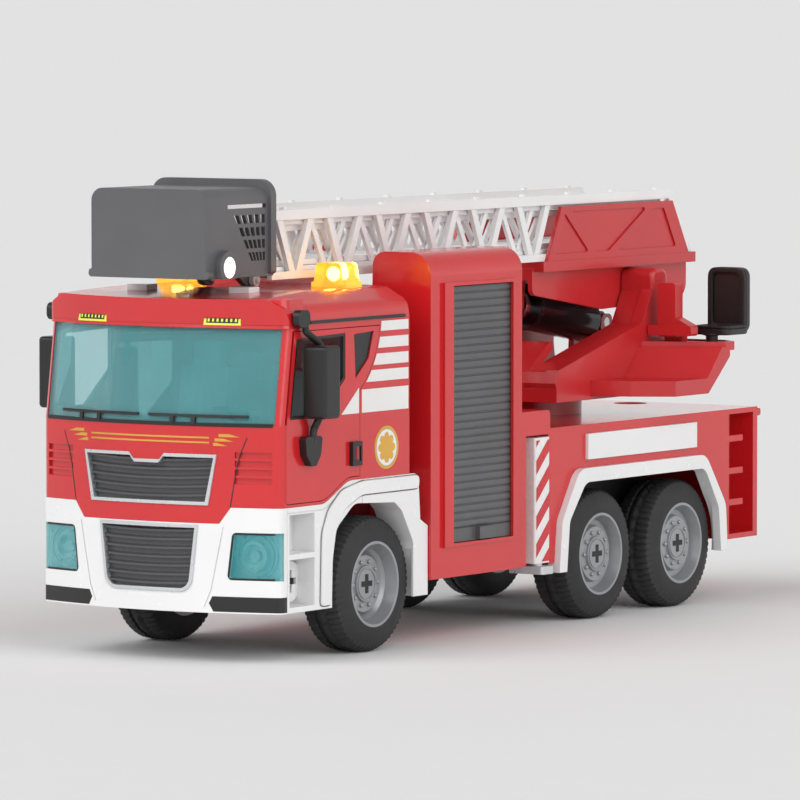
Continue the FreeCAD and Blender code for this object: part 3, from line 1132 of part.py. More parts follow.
def basket():
    """A cage with a closed front, arched top and sides, open at the back inside a round hoop."""
    low, high = BASKET_Z
    h = BASKET_HALF
    outline = [(-h, low), (h, low), (h, high), (-h, high)]
    w = BASKET_WALL
    inner = [(-h + w, low + w), (h - w, low + w), (h - w, high - w), (-h + w, high - w)]
    shell = prism_y(outline, (BASKET_FRONT, BASKET_BACK), radii={2: BASKET_R, 3: BASKET_R})
    space = prism_y(inner, (BASKET_FRONT + w, BASKET_BACK + 1), radii={2: BASKET_R - w, 3: BASKET_R - w})
    lip_low = prism_y([(-h - 2, low), (h + 2, low), (h + 2, low + 4.5), (-h - 2, low + 4.5)],
                      (BASKET_FRONT, BASKET_FRONT + 4), radius=2.0)
    hoop_out = [(-h - 2, low + 1), (h + 2, low + 1), (h + 2, HOOP_TOP), (-h - 2, HOOP_TOP)]
    t = HOOP_T
    hoop_in = [(-h - 2 + t, low + 1 + t), (h + 2 - t, low + 1 + t), (h + 2 - t, HOOP_TOP - t), (-h - 2 + t, HOOP_TOP - t)]
    hoop = prism_y(hoop_out, (BASKET_BACK - 5, BASKET_BACK), radii={2: 9.0, 3: 9.0, 0: 2.0, 1: 2.0})
    hoop = hoop.cut(prism_y(hoop_in, (BASKET_BACK - 6, BASKET_BACK + 1), radii={2: 9.0 - t, 3: 9.0 - t}))
    cage = fuse(shell.cut(space), lip_low, hoop)
    slots = lattice((-233.0, -200.5), (-214.0, -201.0), (240.5, 213.5), 5, 4, h)
    slots.append(box((-h - 5, h + 5), (-237.0, -200.5), (243.0, 245.2)))
    by, bz = BASKET_PIVOT
    ear = prism_x([(-200.0, low + 1), (by - 1, low + 1), (by + 3.6, bz + 2.0), (by + 3.6, bz - 3.6), (by - 3.6, bz - 3.6),
                   (-196.0, low - 0.5), (-200.0, low - 0.5)], (11.5, 15.2), radii={3: 3.4, 4: 3.4})
    housing_at = (-240.7, 212.0)
    housing = rod((h - 1, *housing_at), (h + 4.0, *housing_at), 9.0)
    below = box((h - 5, h + 5), (-255, -220), (190.0, low + 0.001))
    housing = housing.cut(below)
    cage = cut(cage, *slots)
    cage = fuse(cage, *pair(ear), *pair(housing))
    hole = pair(rod((10.0, by, bz), (16.0, by, bz), 1.6 + RUN))
    socket = pair(rod((h + 1.2, *housing_at), (h + 5, *housing_at), 5.8))
    save("basket", cut(cage, *hole, *socket))
    lens = rod((h + 1.2, *housing_at), (h + 3.6, *housing_at), 5.8)
    save("basket_lamps", *pair(lens))


def main():
    os.makedirs("parts", exist_ok=True)
    chassis_frame()
    wheel_sets()
    cab_shell()
    cab_roof()
    roof_fittings()
    windshield()
    wipers()
    grilles()
    front_bumper()
    save("front_wings", *pair(front_wing()))
    cab_interior()
    steering_wheel()
    doors()
    save("side_cabinets", *pair(cabinet()))
    shutters()
    rear_body()
    rear_trim()
    outriggers()
    slewing_post()
    turret_frame()
    pivot_pins()
    operator_station()
    lifting_ram()
    boom_frame()
    boom_panels()
    ladder_base()
    inner_sections()
    basket()


main()
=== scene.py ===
"""Looks of the toy ladder fire engine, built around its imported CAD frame. Metres, +Z up, cab towards -Y."""
import json
import math

import bmesh
import bpy
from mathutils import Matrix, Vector


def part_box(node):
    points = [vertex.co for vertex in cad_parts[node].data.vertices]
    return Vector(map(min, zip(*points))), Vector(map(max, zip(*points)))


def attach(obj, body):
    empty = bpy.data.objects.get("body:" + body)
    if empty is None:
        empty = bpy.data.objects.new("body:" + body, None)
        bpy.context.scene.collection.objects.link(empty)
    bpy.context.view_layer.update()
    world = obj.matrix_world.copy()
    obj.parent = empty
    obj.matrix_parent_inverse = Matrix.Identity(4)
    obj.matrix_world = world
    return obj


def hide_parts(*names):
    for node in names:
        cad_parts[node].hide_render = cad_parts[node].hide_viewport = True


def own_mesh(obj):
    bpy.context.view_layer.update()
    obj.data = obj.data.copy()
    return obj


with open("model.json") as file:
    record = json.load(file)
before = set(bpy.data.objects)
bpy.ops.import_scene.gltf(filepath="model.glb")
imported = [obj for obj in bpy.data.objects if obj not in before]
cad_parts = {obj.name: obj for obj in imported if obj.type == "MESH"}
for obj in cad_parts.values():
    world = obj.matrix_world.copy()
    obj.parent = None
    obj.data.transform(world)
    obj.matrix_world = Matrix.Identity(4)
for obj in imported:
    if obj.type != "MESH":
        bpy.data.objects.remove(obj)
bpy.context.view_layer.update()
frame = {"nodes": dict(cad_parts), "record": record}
SIDES = (("left", 1), ("right", -1))

# ---------------------------------------------------------------- sizes read from the frame
SHELL_LOW, SHELL_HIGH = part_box("cab_shell")
HALF = SHELL_HIGH[0]
FACE_Y = SHELL_LOW[1]
CAB_REAR = SHELL_HIGH[1]
TAIL_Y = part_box("rear_body")[1][1]
TAIL_LIP = 0.0038          # how far the lip stands out behind the tail panel
FACE_BOW = 0.228           # radius of the cab's bowed face, seen from above
SKIN = 0.00015             # how far a printed patch stands proud
SWOOP_CENTRE = (-0.2014, 0.1852)   # the door's back edge is an arc about this point
SWOOP_R = 0.0526
SWOOP_LOW = 0.1442
VISOR_BACK = 0.0057        # the visor's face behind the bumper's, at its lower edge
VISOR_FOOT = 0.180
VISOR_LEAN = 0.1935        # how far the visor leans back per unit of height
POST_Y = 0.204             # where the operator's seat stands on its post
TYRE_WIDTH = 0.027
RIM_R = 0.0235
HUB_DEPTH = {"front": 0.007, "middle": 0.004, "rear": 0.004}   # hub disc inside the tyre's outer face
CAP_H = 0.0014             # the closed cap stands this far out of the hub disc
NUTS = 10
NUT_CIRCLE_R = 0.0123
SLATS = 32
BELOW = 0.0003             # how far a printed patch reaches under its surface


# ---------------------------------------------------------------- mesh helpers
def mesh_object(name, verts, faces):
    mesh = bpy.data.meshes.new(name)
    mesh.from_pydata([tuple(v) for v in verts], [], faces)
    work = bmesh.new()
    work.from_mesh(mesh)
    bmesh.ops.recalc_face_normals(work, faces=work.faces)
    work.to_mesh(mesh)
    work.free()
    obj = bpy.data.objects.new(name, mesh)
    bpy.context.collection.objects.link(obj)
    return obj


def merged(name, objects):
    """Joins several meshes into one piece."""
    work = bmesh.new()
    for obj in objects:
        work.from_mesh(obj.data)
        bpy.data.objects.remove(obj)
    mesh = bpy.data.meshes.new(name)
    work.to_mesh(mesh)
    work.free()
    obj = bpy.data.objects.new(name, mesh)
    bpy.context.collection.objects.link(obj)
    return obj


def extruded(name, outline, place, near, far):
    """A closed plate: the outline placed at two depths, with flat caps."""
    count = len(outline)
    verts = [place(a, b, near) for a, b in outline] + [place(a, b, far) for a, b in outline]
    faces = [tuple(range(count)), tuple(range(2 * count - 1, count - 1, -1))]
    faces += [(i, (i + 1) % count, count + (i + 1) % count, count + i) for i in range(count)]
    return mesh_object(name, verts, faces)


def on_side(a, b, depth):
    return (depth, a, b)


def on_end(a, b, depth):
    return (a, depth, b)


def on_top(a, b, depth):
    return (a, b, depth)


def rounded(points, radius, steps=5):
    """Rounds every corner of a closed outline."""
    result = []
    count = len(points)
    for i, corner in enumerate(points):
        here = Vector(corner)
        a = Vector(points[i - 1]) - here
        b = Vector(points[(i + 1) % count]) - here
        run = min(radius, a.length * 0.45, b.length * 0.45)
        start = here + a.normalized() * run
        end = here + b.normalized() * run
        for k in range(steps + 1):
            t = k / steps
            point = start * (1 - t) ** 2 + here * 2 * t * (1 - t) + end * t ** 2
            result.append((point.x, point.y))
    return result


def rectangle(a0, a1, b0, b1):
    return [(a0, b0), (a1, b0), (a1, b1), (a0, b1)]


def cross_outline(centre, arm, half):
    """A plus sign: its arms reach arm from the centre and are twice half wide."""
    shape = [(half, half), (arm, half), (arm, -half), (half, -half), (half, -arm), (-half, -arm),
             (-half, -half), (-arm, -half), (-arm, half), (-half, half), (-half, arm), (half, arm)]
    return [(centre[0] + a, centre[1] + b) for a, b in shape]


def lathe(name, profile, centre, segments=96, radius_at=None, closed=True):
    """A body turned about a line along X; the profile is a list of (x, radius)."""
    verts = []
    count = len(profile)
    for k in range(segments):
        angle = 2 * math.pi * k / segments
        for j, (x, r) in enumerate(profile):
            radius = radius_at(j, k, r) if radius_at else r
            verts.append((x, centre[0] + radius * math.cos(angle), centre[1] + radius * math.sin(angle)))
    faces = []
    last = count if closed else count - 1
    for k in range(segments):
        n = (k + 1) % segments
        for j in range(last):
            m = (j + 1) % count
            faces.append((k * count + j, k * count + m, n * count + m, n * count + j))
    return mesh_object(name, verts, faces)


def soften(obj, width, segments=2, angle=35):
    """Rounds the sharp edges of a mesh and shades it smooth."""
    work = bmesh.new()
    work.from_mesh(obj.data)
    sharp = [e for e in work.edges if len(e.link_faces) == 2 and e.calc_face_angle(0) > math.radians(angle)]
    bmesh.ops.bevel(work, geom=sharp, offset=width, segments=segments, affect="EDGES", clamp_overlap=True)
    for face in work.faces:
        face.smooth = True
    work.to_mesh(obj.data)
    work.free()
    smooth_by_angle(obj)
    return obj


def smooth_by_angle(obj, angle=35):
    obj.data.polygons.foreach_set("use_smooth", [True] * len(obj.data.polygons))
    obj.data.set_sharp_from_angle(angle=math.radians(angle))


def put(obj, body, slot, material, *replaced):
    """Gives a piece its material and body, and hides the parts it replaces."""
    obj.data.materials.clear()
    obj.data.materials.append(material)
    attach(obj, body)
    if replaced:
        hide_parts(*replaced)
    return obj


# ---------------------------------------------------------------- materials
def nodes_of(name):
    material = bpy.data.materials.new(name)
    material.use_nodes = True
    tree = material.node_tree
    shader = tree.nodes["Principled BSDF"]
    place = tree.nodes.new("ShaderNodeTexCoord")
    return material, tree, shader, place.outputs["Object"]


def noise(tree, place, scale, detail=3.0, distortion=0.0):
    node = tree.nodes.new("ShaderNodeTexNoise")
    node.inputs["Scale"].default_value = scale
    node.inputs["Detail"].default_value = detail
    node.inputs["Distortion"].default_value = distortion
    tree.links.new(place, node.inputs["Vector"])
    return node.outputs["Fac"]


def ramp(tree, value, low, high):
    node = tree.nodes.new("ShaderNodeMapRange")
    node.inputs["To Min"].default_value = low
    node.inputs["To Max"].default_value = high
    tree.links.new(value, node.inputs["Value"])
    return node.outputs["Result"]


def tint(tree, value, dark, light):
    node = tree.nodes.new("ShaderNodeValToRGB")
    node.color_ramp.elements[0].position = 0.3
    node.color_ramp.elements[1].position = 0.7
    node.color_ramp.elements[0].color = (*dark, 1)
    node.color_ramp.elements[1].color = (*light, 1)
    tree.links.new(value, node.inputs["Fac"])
    return node.outputs["Color"]


def rounded_bump(tree, shader, height, strength, distance, edge):
    """A fine surface texture over softly rounded moulded edges."""
    bevel = tree.nodes.new("ShaderNodeBevel")
    bevel.samples = 4
    bevel.inputs["Radius"].default_value = edge
    bump = tree.nodes.new("ShaderNodeBump")
    bump.inputs["Strength"].default_value = strength
    bump.inputs["Distance"].default_value = distance
    tree.links.new(height, bump.inputs["Height"])
    tree.links.new(bevel.outputs["Normal"], bump.inputs["Normal"])
    tree.links.new(bump.outputs["Normal"], shader.inputs["Normal"])


def plastic(name, colour, rough, coat=0.0, spread=0.06, grain=900.0, depth=0.00004, metal=0.0, edge=0.0004):
    """Moulded plastic: slow colour drift, uneven gloss, a fine skin and a little wear in the gloss."""
    material, tree, shader, place = nodes_of(name)
    dark = tuple(c * (1 - spread) for c in colour)
    light = tuple(min(1.0, c * (1 + spread)) for c in colour)
    drift = noise(tree, place, 22.0, 4.0)
    tree.links.new(tint(tree, drift, dark, light), shader.inputs["Base Color"])
    wear = noise(tree, place, 160.0, 6.0, 0.4)
    tree.links.new(ramp(tree, wear, max(0.02, rough - 0.06), rough + 0.08), shader.inputs["Roughness"])
    shader.inputs["Metallic"].default_value = metal
    shader.inputs["Coat Weight"].default_value = coat
    shader.inputs["Coat Roughness"].default_value = 0.06
    rounded_bump(tree, shader, noise(tree, place, grain, 2.0), 0.25, depth, edge)
    return material


def clear(name, colour, rough, transmission, alpha=1.0, emission=0.0):
    """Tinted clear plastic with a faint ripple."""
    material, tree, shader, place = nodes_of(name)
    dark = tuple(c * 0.9 for c in colour)
    tree.links.new(tint(tree, noise(tree, place, 30.0), dark, colour), shader.inputs["Base Color"])
    shader.inputs["Roughness"].default_value = rough
    shader.inputs["Transmission Weight"].default_value = transmission
    shader.inputs["IOR"].default_value = 1.46
    shader.inputs["Alpha"].default_value = alpha
    shader.inputs["Emission Color"].default_value = (*colour, 1)
    shader.inputs["Emission Strength"].default_value = emission
    bump = tree.nodes.new("ShaderNodeBump")
    bump.inputs["Strength"].default_value = 0.08
    bump.inputs["Distance"].default_value = 0.0002
    tree.links.new(noise(tree, place, 120.0), bump.inputs["Height"])
    tree.links.new(bump.outputs["Normal"], shader.inputs["Normal"])
    return material


def glowing(name, colour, strength):
    """Lit plastic with an even glow."""
    material = plastic(name, colour, 0.2, coat=0.6, spread=0.1)
    shader = material.node_tree.nodes["Principled BSDF"]
    shader.inputs["Emission Color"].default_value = (*colour, 1)
    shader.inputs["Emission Strength"].default_value = strength
    return material


MATERIALS = {
    "red_body": plastic("red_body", (0.62, 0.014, 0.018), 0.2, coat=0.5, spread=0.04),
    "red_turret": plastic("red_turret", (0.55, 0.018, 0.022), 0.3, coat=0.25, spread=0.05),
    "white_body": plastic("white_body", (0.84, 0.84, 0.84), 0.24, coat=0.35, spread=0.02),
    "white_ladder": plastic("white_ladder", (0.82, 0.82, 0.82), 0.34, coat=0.15, spread=0.03),
    "grey_basket": plastic("grey_basket", (0.11, 0.11, 0.115), 0.42, spread=0.08, grain=1400.0,
                           depth=0.00008),
    "lamp_white": glowing("lamp_white", (0.95, 0.95, 0.92), 0.9),
    "beacon_amber": clear("beacon_amber", (1.0, 0.56, 0.06), 0.12, 0.75, emission=0.35),
    # marker_amber: the printed marker lamps are given a faint painted glow
    "marker_amber": glowing("marker_amber", (0.72, 0.78, 0.06), 0.2),
    "screen_tint": clear("screen_tint", (0.2, 0.66, 0.7), 0.04, 0.45, 0.5),
    "lamp_glass": clear("lamp_glass", (0.1, 0.6, 0.64), 0.05, 0.35, 0.42),
    "silver_plastic": plastic("silver_plastic", (0.66, 0.67, 0.69), 0.28, metal=0.6, spread=0.05),
    "black_plastic": plastic("black_plastic", (0.012, 0.012, 0.013), 0.34, spread=0.15, depth=0.00006),
    "chassis_black": plastic("chassis_black", (0.014, 0.014, 0.015), 0.5, spread=0.2, depth=0.00008),
    "interior_grey": plastic("interior_grey", (0.3, 0.33, 0.34), 0.5, spread=0.12),
    "steel_pin": plastic("steel_pin", (0.55, 0.55, 0.56), 0.28, metal=1.0, spread=0.05),
    "seat_black": plastic("seat_black", (0.016, 0.013, 0.013), 0.36, spread=0.15),
    "shutter_grey": plastic("shutter_grey", (0.12, 0.122, 0.126), 0.36, metal=0.35, spread=0.08),
    "hazard_white": plastic("hazard_white", (0.82, 0.82, 0.82), 0.26, coat=0.3, spread=0.02),
    "ram_dark": plastic("ram_dark", (0.05, 0.05, 0.055), 0.12, metal=0.9, spread=0.1, depth=0.00001),
    "ram_rod": plastic("ram_rod", (0.5, 0.5, 0.52), 0.14, metal=1.0, spread=0.05, depth=0.00001),
    "rim_grey": plastic("rim_grey", (0.36, 0.37, 0.385), 0.34, metal=0.55, spread=0.06),
    "tyre": plastic("tyre", (0.022, 0.022, 0.023), 0.62, spread=0.25, grain=700.0, depth=0.00012),
}
GOLD = plastic("gold_print", (0.72, 0.4, 0.06), 0.34, metal=0.2, spread=0.08)
WHITE_PRINT = plastic("white_print", (0.82, 0.81, 0.79), 0.32, coat=0.2, spread=0.03)
RED_LENS = glowing("red_lens", (0.6, 0.01, 0.01), 0.15)
BULB = glowing("warm_bulb", (1.0, 0.86, 0.5), 9.0)
RED_PRINT = plastic("red_print", (0.6, 0.01, 0.018), 0.28, coat=0.2, spread=0.04)
SLAT_GREY = plastic("slat_grey", (0.075, 0.075, 0.08), 0.3, coat=0.2, spread=0.1)


def finish_frame():
    """Every CAD node takes the material of its slot; the louvres take a darker grey."""
    for entry in frame["record"]["subparts"]:
        obj = frame["nodes"][entry["node"]]
        if not obj.material_slots:
            obj.data.materials.append(None)
        for material_slot in obj.material_slots:
            material_slot.material = MATERIALS[entry["material_slot"]]
    frame["nodes"]["grille_louvres"].material_slots[0].material = SLAT_GREY


# ---------------------------------------------------------------- wheels
def tyre_mesh(name, low, high, side):
    """A tyre with shoulder lugs and a split tread."""
    centre = ((low[1] + high[1]) / 2, (low[2] + high[2]) / 2)
    radius = (high[2] - low[2]) / 2
    outer = high[0]
    inner = outer - TYRE_WIDTH
    xs = [inner, inner, inner + 0.0006, inner + 0.0012, inner + 0.0026, inner + 0.0048, inner + 0.0095,
          inner + 0.0098, inner + 0.0128, inner + 0.0142, inner + 0.0172, inner + 0.0175,
          outer - 0.0048, outer - 0.0026, outer - 0.0012, outer - 0.0006, outer, outer]
    drop = [None, None, None, 0.0042, 0.0016, 0.0003, 0.0, 0.0016, 0.0016, 0.0016, 0.0016, 0.0,
            0.0003, 0.0016, 0.0042, None, None, None]
    walls = {0: RIM_R, 1: 0.0285, 2: 0.0302, 15: 0.0302, 16: 0.0285, 17: RIM_R}
    centre_band = {8: 0.0, 9: 0.0}
    profile = []
    for j, x in enumerate(xs):
        if j in walls:
            profile.append((x, walls[j]))
        else:
            profile.append((x, radius - centre_band.get(j, drop[j])))

    lugs = {3, 4, 5, 6, 11, 12, 13, 14}

    def radius_at(j, k, r):
        if j in lugs and k % 3 == 2:
            return r - 0.0010
        if j in (8, 9) and k % 6 == 5:
            return r - 0.0009
        return r

    obj = lathe(name, [(x * side, r) for x, r in profile], centre, 180, radius_at)
    smooth_by_angle(obj, 28)
    return obj


def wheels():
    """Tyres, nuts and the painted-shade cap crosses of the three axles."""
    for place in ("front", "middle", "rear"):
        node = "tyres_" + place
        low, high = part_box(node)
        centre = ((low[1] + high[1]) / 2, (low[2] + high[2]) / 2)
        pieces = []
        for word, side in SIDES:
            pieces.append(tyre_mesh("tyre_%s_%s" % (place, word), low, high, side))
        tyres = merged("tyre_pair_" + place, pieces)
        smooth_by_angle(tyres, 28)
        put(tyres, "wheels_" + place, "tyre", MATERIALS["tyre"], node)
        hub = high[0] - HUB_DEPTH[place]
        body = "wheels_" + place
        put(wheel_nuts("wheel_nuts_" + place, centre, hub), body, "rim_grey", MATERIALS["rim_grey"])
        # the dark cap crosses are painted shade for the driver recesses
        put(cap_cross_shades("cap_cross_shades_" + place, centre, hub), body, "chassis_black", MATERIALS["chassis_black"])


def wheel_nuts(name, centre, hub):
    """Ten six-sided nuts and a turned ring on both hubs."""
    pieces = []
    for _, side in SIDES:
        for k in range(NUTS):
            angle = 2 * math.pi * k / NUTS
            at = (centre[0] + NUT_CIRCLE_R * math.cos(angle), centre[1] + NUT_CIRCLE_R * math.sin(angle))
            outline = [(0.0, 0.0013), (0.0009, 0.0013), (0.0014, 0.0008), (0.0014, 0.0)]
            section = [((hub + x) * side, r) for x, r in outline]
            foot = (hub * side, 0.00001)
            tip = ((hub + 0.0013) * side, 0.00001)
            pieces.append(lathe("nut", [foot] + section[:3] + [tip], at, 6))
        ring = [(hub + 0.0008, 0.0090), (hub + 0.0019, 0.0088), (hub + 0.0019, 0.0081),
                (hub + 0.0008, 0.0079)]
        pieces.append(lathe("ring", [(x * side, r) for x, r in ring], centre, 64))
    nuts = merged(name, pieces)
    smooth_by_angle(nuts)
    return nuts


def cap_cross_shades(name, centre, hub):
    """A dark cross in the middle of each hub cap, standing a little proud: painted shade for the cross-shaped
    driver recess.
    """
    outline = cross_outline(centre, 0.0052, 0.0015)
    near = hub + CAP_H - 0.0003
    far = hub + CAP_H + 0.0002
    pieces = [extruded("cross", outline, on_side, near * side, far * side) for _, side in SIDES]
    return merged(name, pieces)


# ---------------------------------------------------------------- shutters
def shutter_curtain(word, side):
    """A curtain of curved slats that fills its opening."""
    node = "shutter_curtain_" + word
    low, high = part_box(node)
    inner = min(abs(low[0]), abs(high[0]))
    outer = max(abs(low[0]), abs(high[0]))
    pitch = (high[2] - low[2]) / SLATS
    front = []
    for i in range(SLATS):
        base = low[2] + i * pitch
        front += [(outer - 0.0007, base), (outer - 0.0007, base + 0.1 * pitch),
                  (outer - 0.0002, base + 0.18 * pitch), (outer, base + 0.4 * pitch),
                  (outer, base + 0.65 * pitch), (outer - 0.0002, base + 0.9 * pitch)]
    outline = front + [(outer - 0.0007, high[2]), (inner, high[2]), (inner, low[2])]
    count = len(outline)
    verts = [(x * side, low[1], z) for x, z in outline] + [(x * side, high[1], z) for x, z in outline]
    faces = [(i, (i + 1) % count, count + (i + 1) % count, count + i) for i in range(count)]
    faces += [tuple(range(count)), tuple(range(count, 2 * count))]
    piece = mesh_object("slats_" + word, verts, faces)
    put(piece, "truck", "shutter_grey", MATERIALS["shutter_grey"], node)
    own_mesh(piece)


# ---------------------------------------------------------------- printed patches on the cab
def swoop_y(z):
    """The front edge of the white print: it follows the back edge of the door."""
    from_middle = max(z, SWOOP_LOW) - SWOOP_CENTRE[1]
    return SWOOP_CENTRE[0] + math.sqrt(SWOOP_R ** 2 - from_middle ** 2)


def cab_print(word, side):
    """White bands behind the door, their start on the door itself, and a gold badge."""
    bands = [(0.1316, 0.1442), (0.1480, 0.1543), (0.1569, 0.1630), (0.1660, 0.1720), (0.1752, 0.1806)]
    near = HALF * side
    far = (HALF + SKIN) * side
    pieces = []
    for low, high in bands:
        steps = 8
        heights = [low + (high - low) * i / steps for i in range(steps + 1)]
        outline = [(swoop_y(z), z) for z in heights] + [(CAB_REAR - 0.0012, high), (CAB_REAR - 0.0012, low)]
        pieces.append(extruded("band", outline, on_side, near, far))
    put(merged("white_bands_" + word, pieces), "truck", "white_body", WHITE_PRINT)
    corner = [(-0.1885, 0.1316), (-0.1712, 0.1316), (-0.1712, 0.1455)]
    start = extruded("band_start_" + word, corner, on_side, near, far)
    put(start, "cab_door_" + word, "white_body", WHITE_PRINT)
    badge(word, near, far)


def badge(word, near, far):
    """A round badge: gold ring, pale ground and a plain gold rosette of eight petals."""
    centre = (-0.144, 0.1115)
    ground = disc("badge_ground_" + word, centre, lambda angle: 0.0102, near, far)
    put(ground, "truck", "white_body", WHITE_PRINT)
    ring = lathe("ring", [(near, 0.0119), (far, 0.0118), (far, 0.0100), (near, 0.0099)], centre, 96)
    lift = (far - near) * 0.6
    petals = lambda angle: 0.0060 + 0.0024 * abs(math.cos(4 * angle)) ** 0.7
    flower = disc("flower", centre, petals, near + lift, far + lift)
    put(merged("gold_badge_" + word, [ring, flower]), "truck", "white_body", GOLD)


def disc(name, centre, radius_at, near, far, points=96):
    """A flat patch on the truck's side, its radius given for every angle."""
    outline = []
    for k in range(points):
        angle = 2 * math.pi * k / points
        r = radius_at(angle)
        outline.append((centre[0] + r * math.cos(angle), centre[1] + r * math.sin(angle)))
    return extruded(name, outline, on_side, near, far)


def face_y(x, proud=0.0):
    """The cab's bowed face at x, standing proud by a little."""
    return FACE_Y + FACE_BOW - math.sqrt((FACE_BOW + proud) ** 2 - x * x)


def face_patch(name, lower, upper, x0, x1, proud=SKIN, steps=24):
    """A thin patch on the bowed face between two lines z = lower(x) and z = upper(x)."""
    verts = []
    for i in range(steps + 1):
        x = x0 + (x1 - x0) * i / steps
        for depth in (-BELOW, proud):
            verts.append((x, face_y(x, depth), lower(x)))
            verts.append((x, face_y(x, depth), upper(x)))
    faces = []
    for i in range(steps):
        a = 4 * i
        b = a + 4
        faces += [(a, a + 1, b + 1, b), (a + 2, b + 2, b + 3, a + 3),
                  (a, b, b + 2, a + 2), (a + 1, a + 3, b + 3, b + 1)]
    faces += [(0, 2, 3, 1), (4 * steps, 4 * steps + 1, 4 * steps + 3, 4 * steps + 2)]
    return mesh_object(name, verts, faces)


def front_print():
    """Two gold wings of three feathers joined by a slim double line."""
    pieces = []
    for _, side in SIDES:
        for k in range(3):
            z = 0.1222 - k * 0.0024
            tip = 0.0475 + 0.0085 - k * 0.0035
            root = 0.0440 if k == 0 else 0.0425 - k * 0.0008
            rise = lambda x, z=z: z
            fall = lambda x, z=z, tip=tip: z + 0.0016 * min(1.0, max(0.06, (tip - abs(x)) / 0.006))
            pieces.append(face_patch("feather", rise, fall, root * side, tip * side))
    for z in (0.1186, 0.1212):
        pieces.append(face_patch("line", lambda x, z=z: z, lambda x, z=z: z + 0.0009, -0.0385, 0.0385))
    put(merged("gold_wings", pieces), "truck", "white_body", GOLD)


def screen_seal():
    """The black seal along the foot of the screen."""
    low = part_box("windshield")[0][2]
    seal = face_patch("screen_seal", lambda x: low - 0.0011, lambda x: low + 0.0009,
                      -0.0735, 0.0735, 0.0004, 48)
    put(seal, "truck", "black_plastic", MATERIALS["black_plastic"])


# ---------------------------------------------------------------- outrigger stripes
def leg_stripes(word, side):
    """Red diagonal stripes printed on the white outer face of an outrigger leg."""
    low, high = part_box("outrigger_" + word)
    outer = max(abs(low[0]), abs(high[0]))
    y0 = low[1] + 0.0009
    y1 = high[1] - 0.0009
    z0 = 0.038
    z1 = high[2] - 0.0015
    slope = 0.95
    width = 0.0078
    pieces = []
    start = z0 - (y1 - y0) * slope
    while start < z1:
        corners = [(y0, start), (y0, start + width), (y1, start + width + (y1 - y0) * slope),
                   (y1, start + (y1 - y0) * slope)]
        inside = clipped(corners, z0, z1)
        if len(inside) > 2:
            pieces.append(extruded("stripe", inside, on_side, outer * side, (outer + SKIN) * side))
        start += 2 * width
    put(merged("stripes_" + word, pieces), "leg_" + word, "hazard_white", RED_PRINT)


def clipped(points, low, high):
    """A convex outline cut at two heights."""
    for limit, keep_above in ((low, True), (high, False)):
        result = []
        for i, here in enumerate(points):
            before = points[i - 1]
            inside = (here[1] >= limit) == keep_above or here[1] == limit
            was_inside = (before[1] >= limit) == keep_above or before[1] == limit
            if inside != was_inside:
                t = (limit - before[1]) / (here[1] - before[1])
                result.append((before[0] + (here[0] - before[0]) * t, limit))
            if inside:
                result.append(here)
        points = result
    return points


# ---------------------------------------------------------------- small fittings
def cab_gutters():
    """A slim rain gutter above each side window."""
    for word, side in SIDES:
        outline = rounded(rectangle(-0.219, -0.126, 0.1819, 0.1836), 0.0008)
        gutter = extruded("gutter_" + word, outline, on_side, (HALF - 0.0002) * side, (HALF + 0.0009) * side)
        put(gutter, "truck", "black_plastic", MATERIALS["black_plastic"])


def strip(name, left, right, surface, proud):
    """A thin band on a curved surface; left and right are its two edges as lists of (x, z)."""
    verts = []
    for (xa, za), (xb, zb) in zip(left, right):
        verts += [surface(xa, za, -BELOW), surface(xb, zb, -BELOW),
                  surface(xb, zb, proud), surface(xa, za, proud)]
    faces = [(0, 1, 2, 3)]
    for i in range(len(left) - 1):
        for j in range(4):
            k = (j + 1) % 4
            faces.append((4 * i + j, 4 * i + k, 4 * i + 4 + k, 4 * i + 4 + j))
    end = 4 * (len(left) - 1)
    faces.append((end, end + 1, end + 2, end + 3))
    return mesh_object(name, verts, faces)


def on_visor(x, z, proud):
    """A point on the marker lamps' leaning, bowed face."""
    reach = FACE_BOW + 0.0005 + proud
    back = VISOR_BACK + (z - VISOR_FOOT) * VISOR_LEAN
    return (x, FACE_Y + back + FACE_BOW - math.sqrt(reach ** 2 - x * x), z)


def on_bumper(x, z, proud):
    """A point on the bumper's bowed face."""
    return (x, face_y(x, proud), z)


def marker_bars():
    """A dark window with upright yellow bars in each printed marker lamp on the visor; the bars' faint glow
    is a painted glow.
    """
    low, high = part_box("marker_lights")
    first = 0.0334
    pitch = 0.0026
    width = 0.0011
    bottom = low[2] + 0.0012
    top = high[2] - 0.0012
    windows = []
    bars = []
    for _, side in SIDES:
        across = [(first + 7 * pitch * i / 8) * side for i in range(9)]
        foot = [(x, bottom) for x in across]
        head = [(x, top) for x in across]
        windows.append(strip("window", foot, head, on_visor, 0.0001))
        for k in range(7):
            x = first + (k + 0.3) * pitch
            left = [(x * side, bottom + 0.0007), (x * side, top - 0.0007)]
            right = [((x + width) * side, bottom + 0.0007), ((x + width) * side, top - 0.0007)]
            bars.append(strip("bar", left, right, on_visor, 0.0002))
    put(merged("marker_windows", windows), "truck", "black_plastic", MATERIALS["black_plastic"])
    # the yellow bars glow a little: painted glow on a printed lamp
    put(merged("marker_bars", bars), "truck", "marker_amber", MATERIALS["marker_amber"])


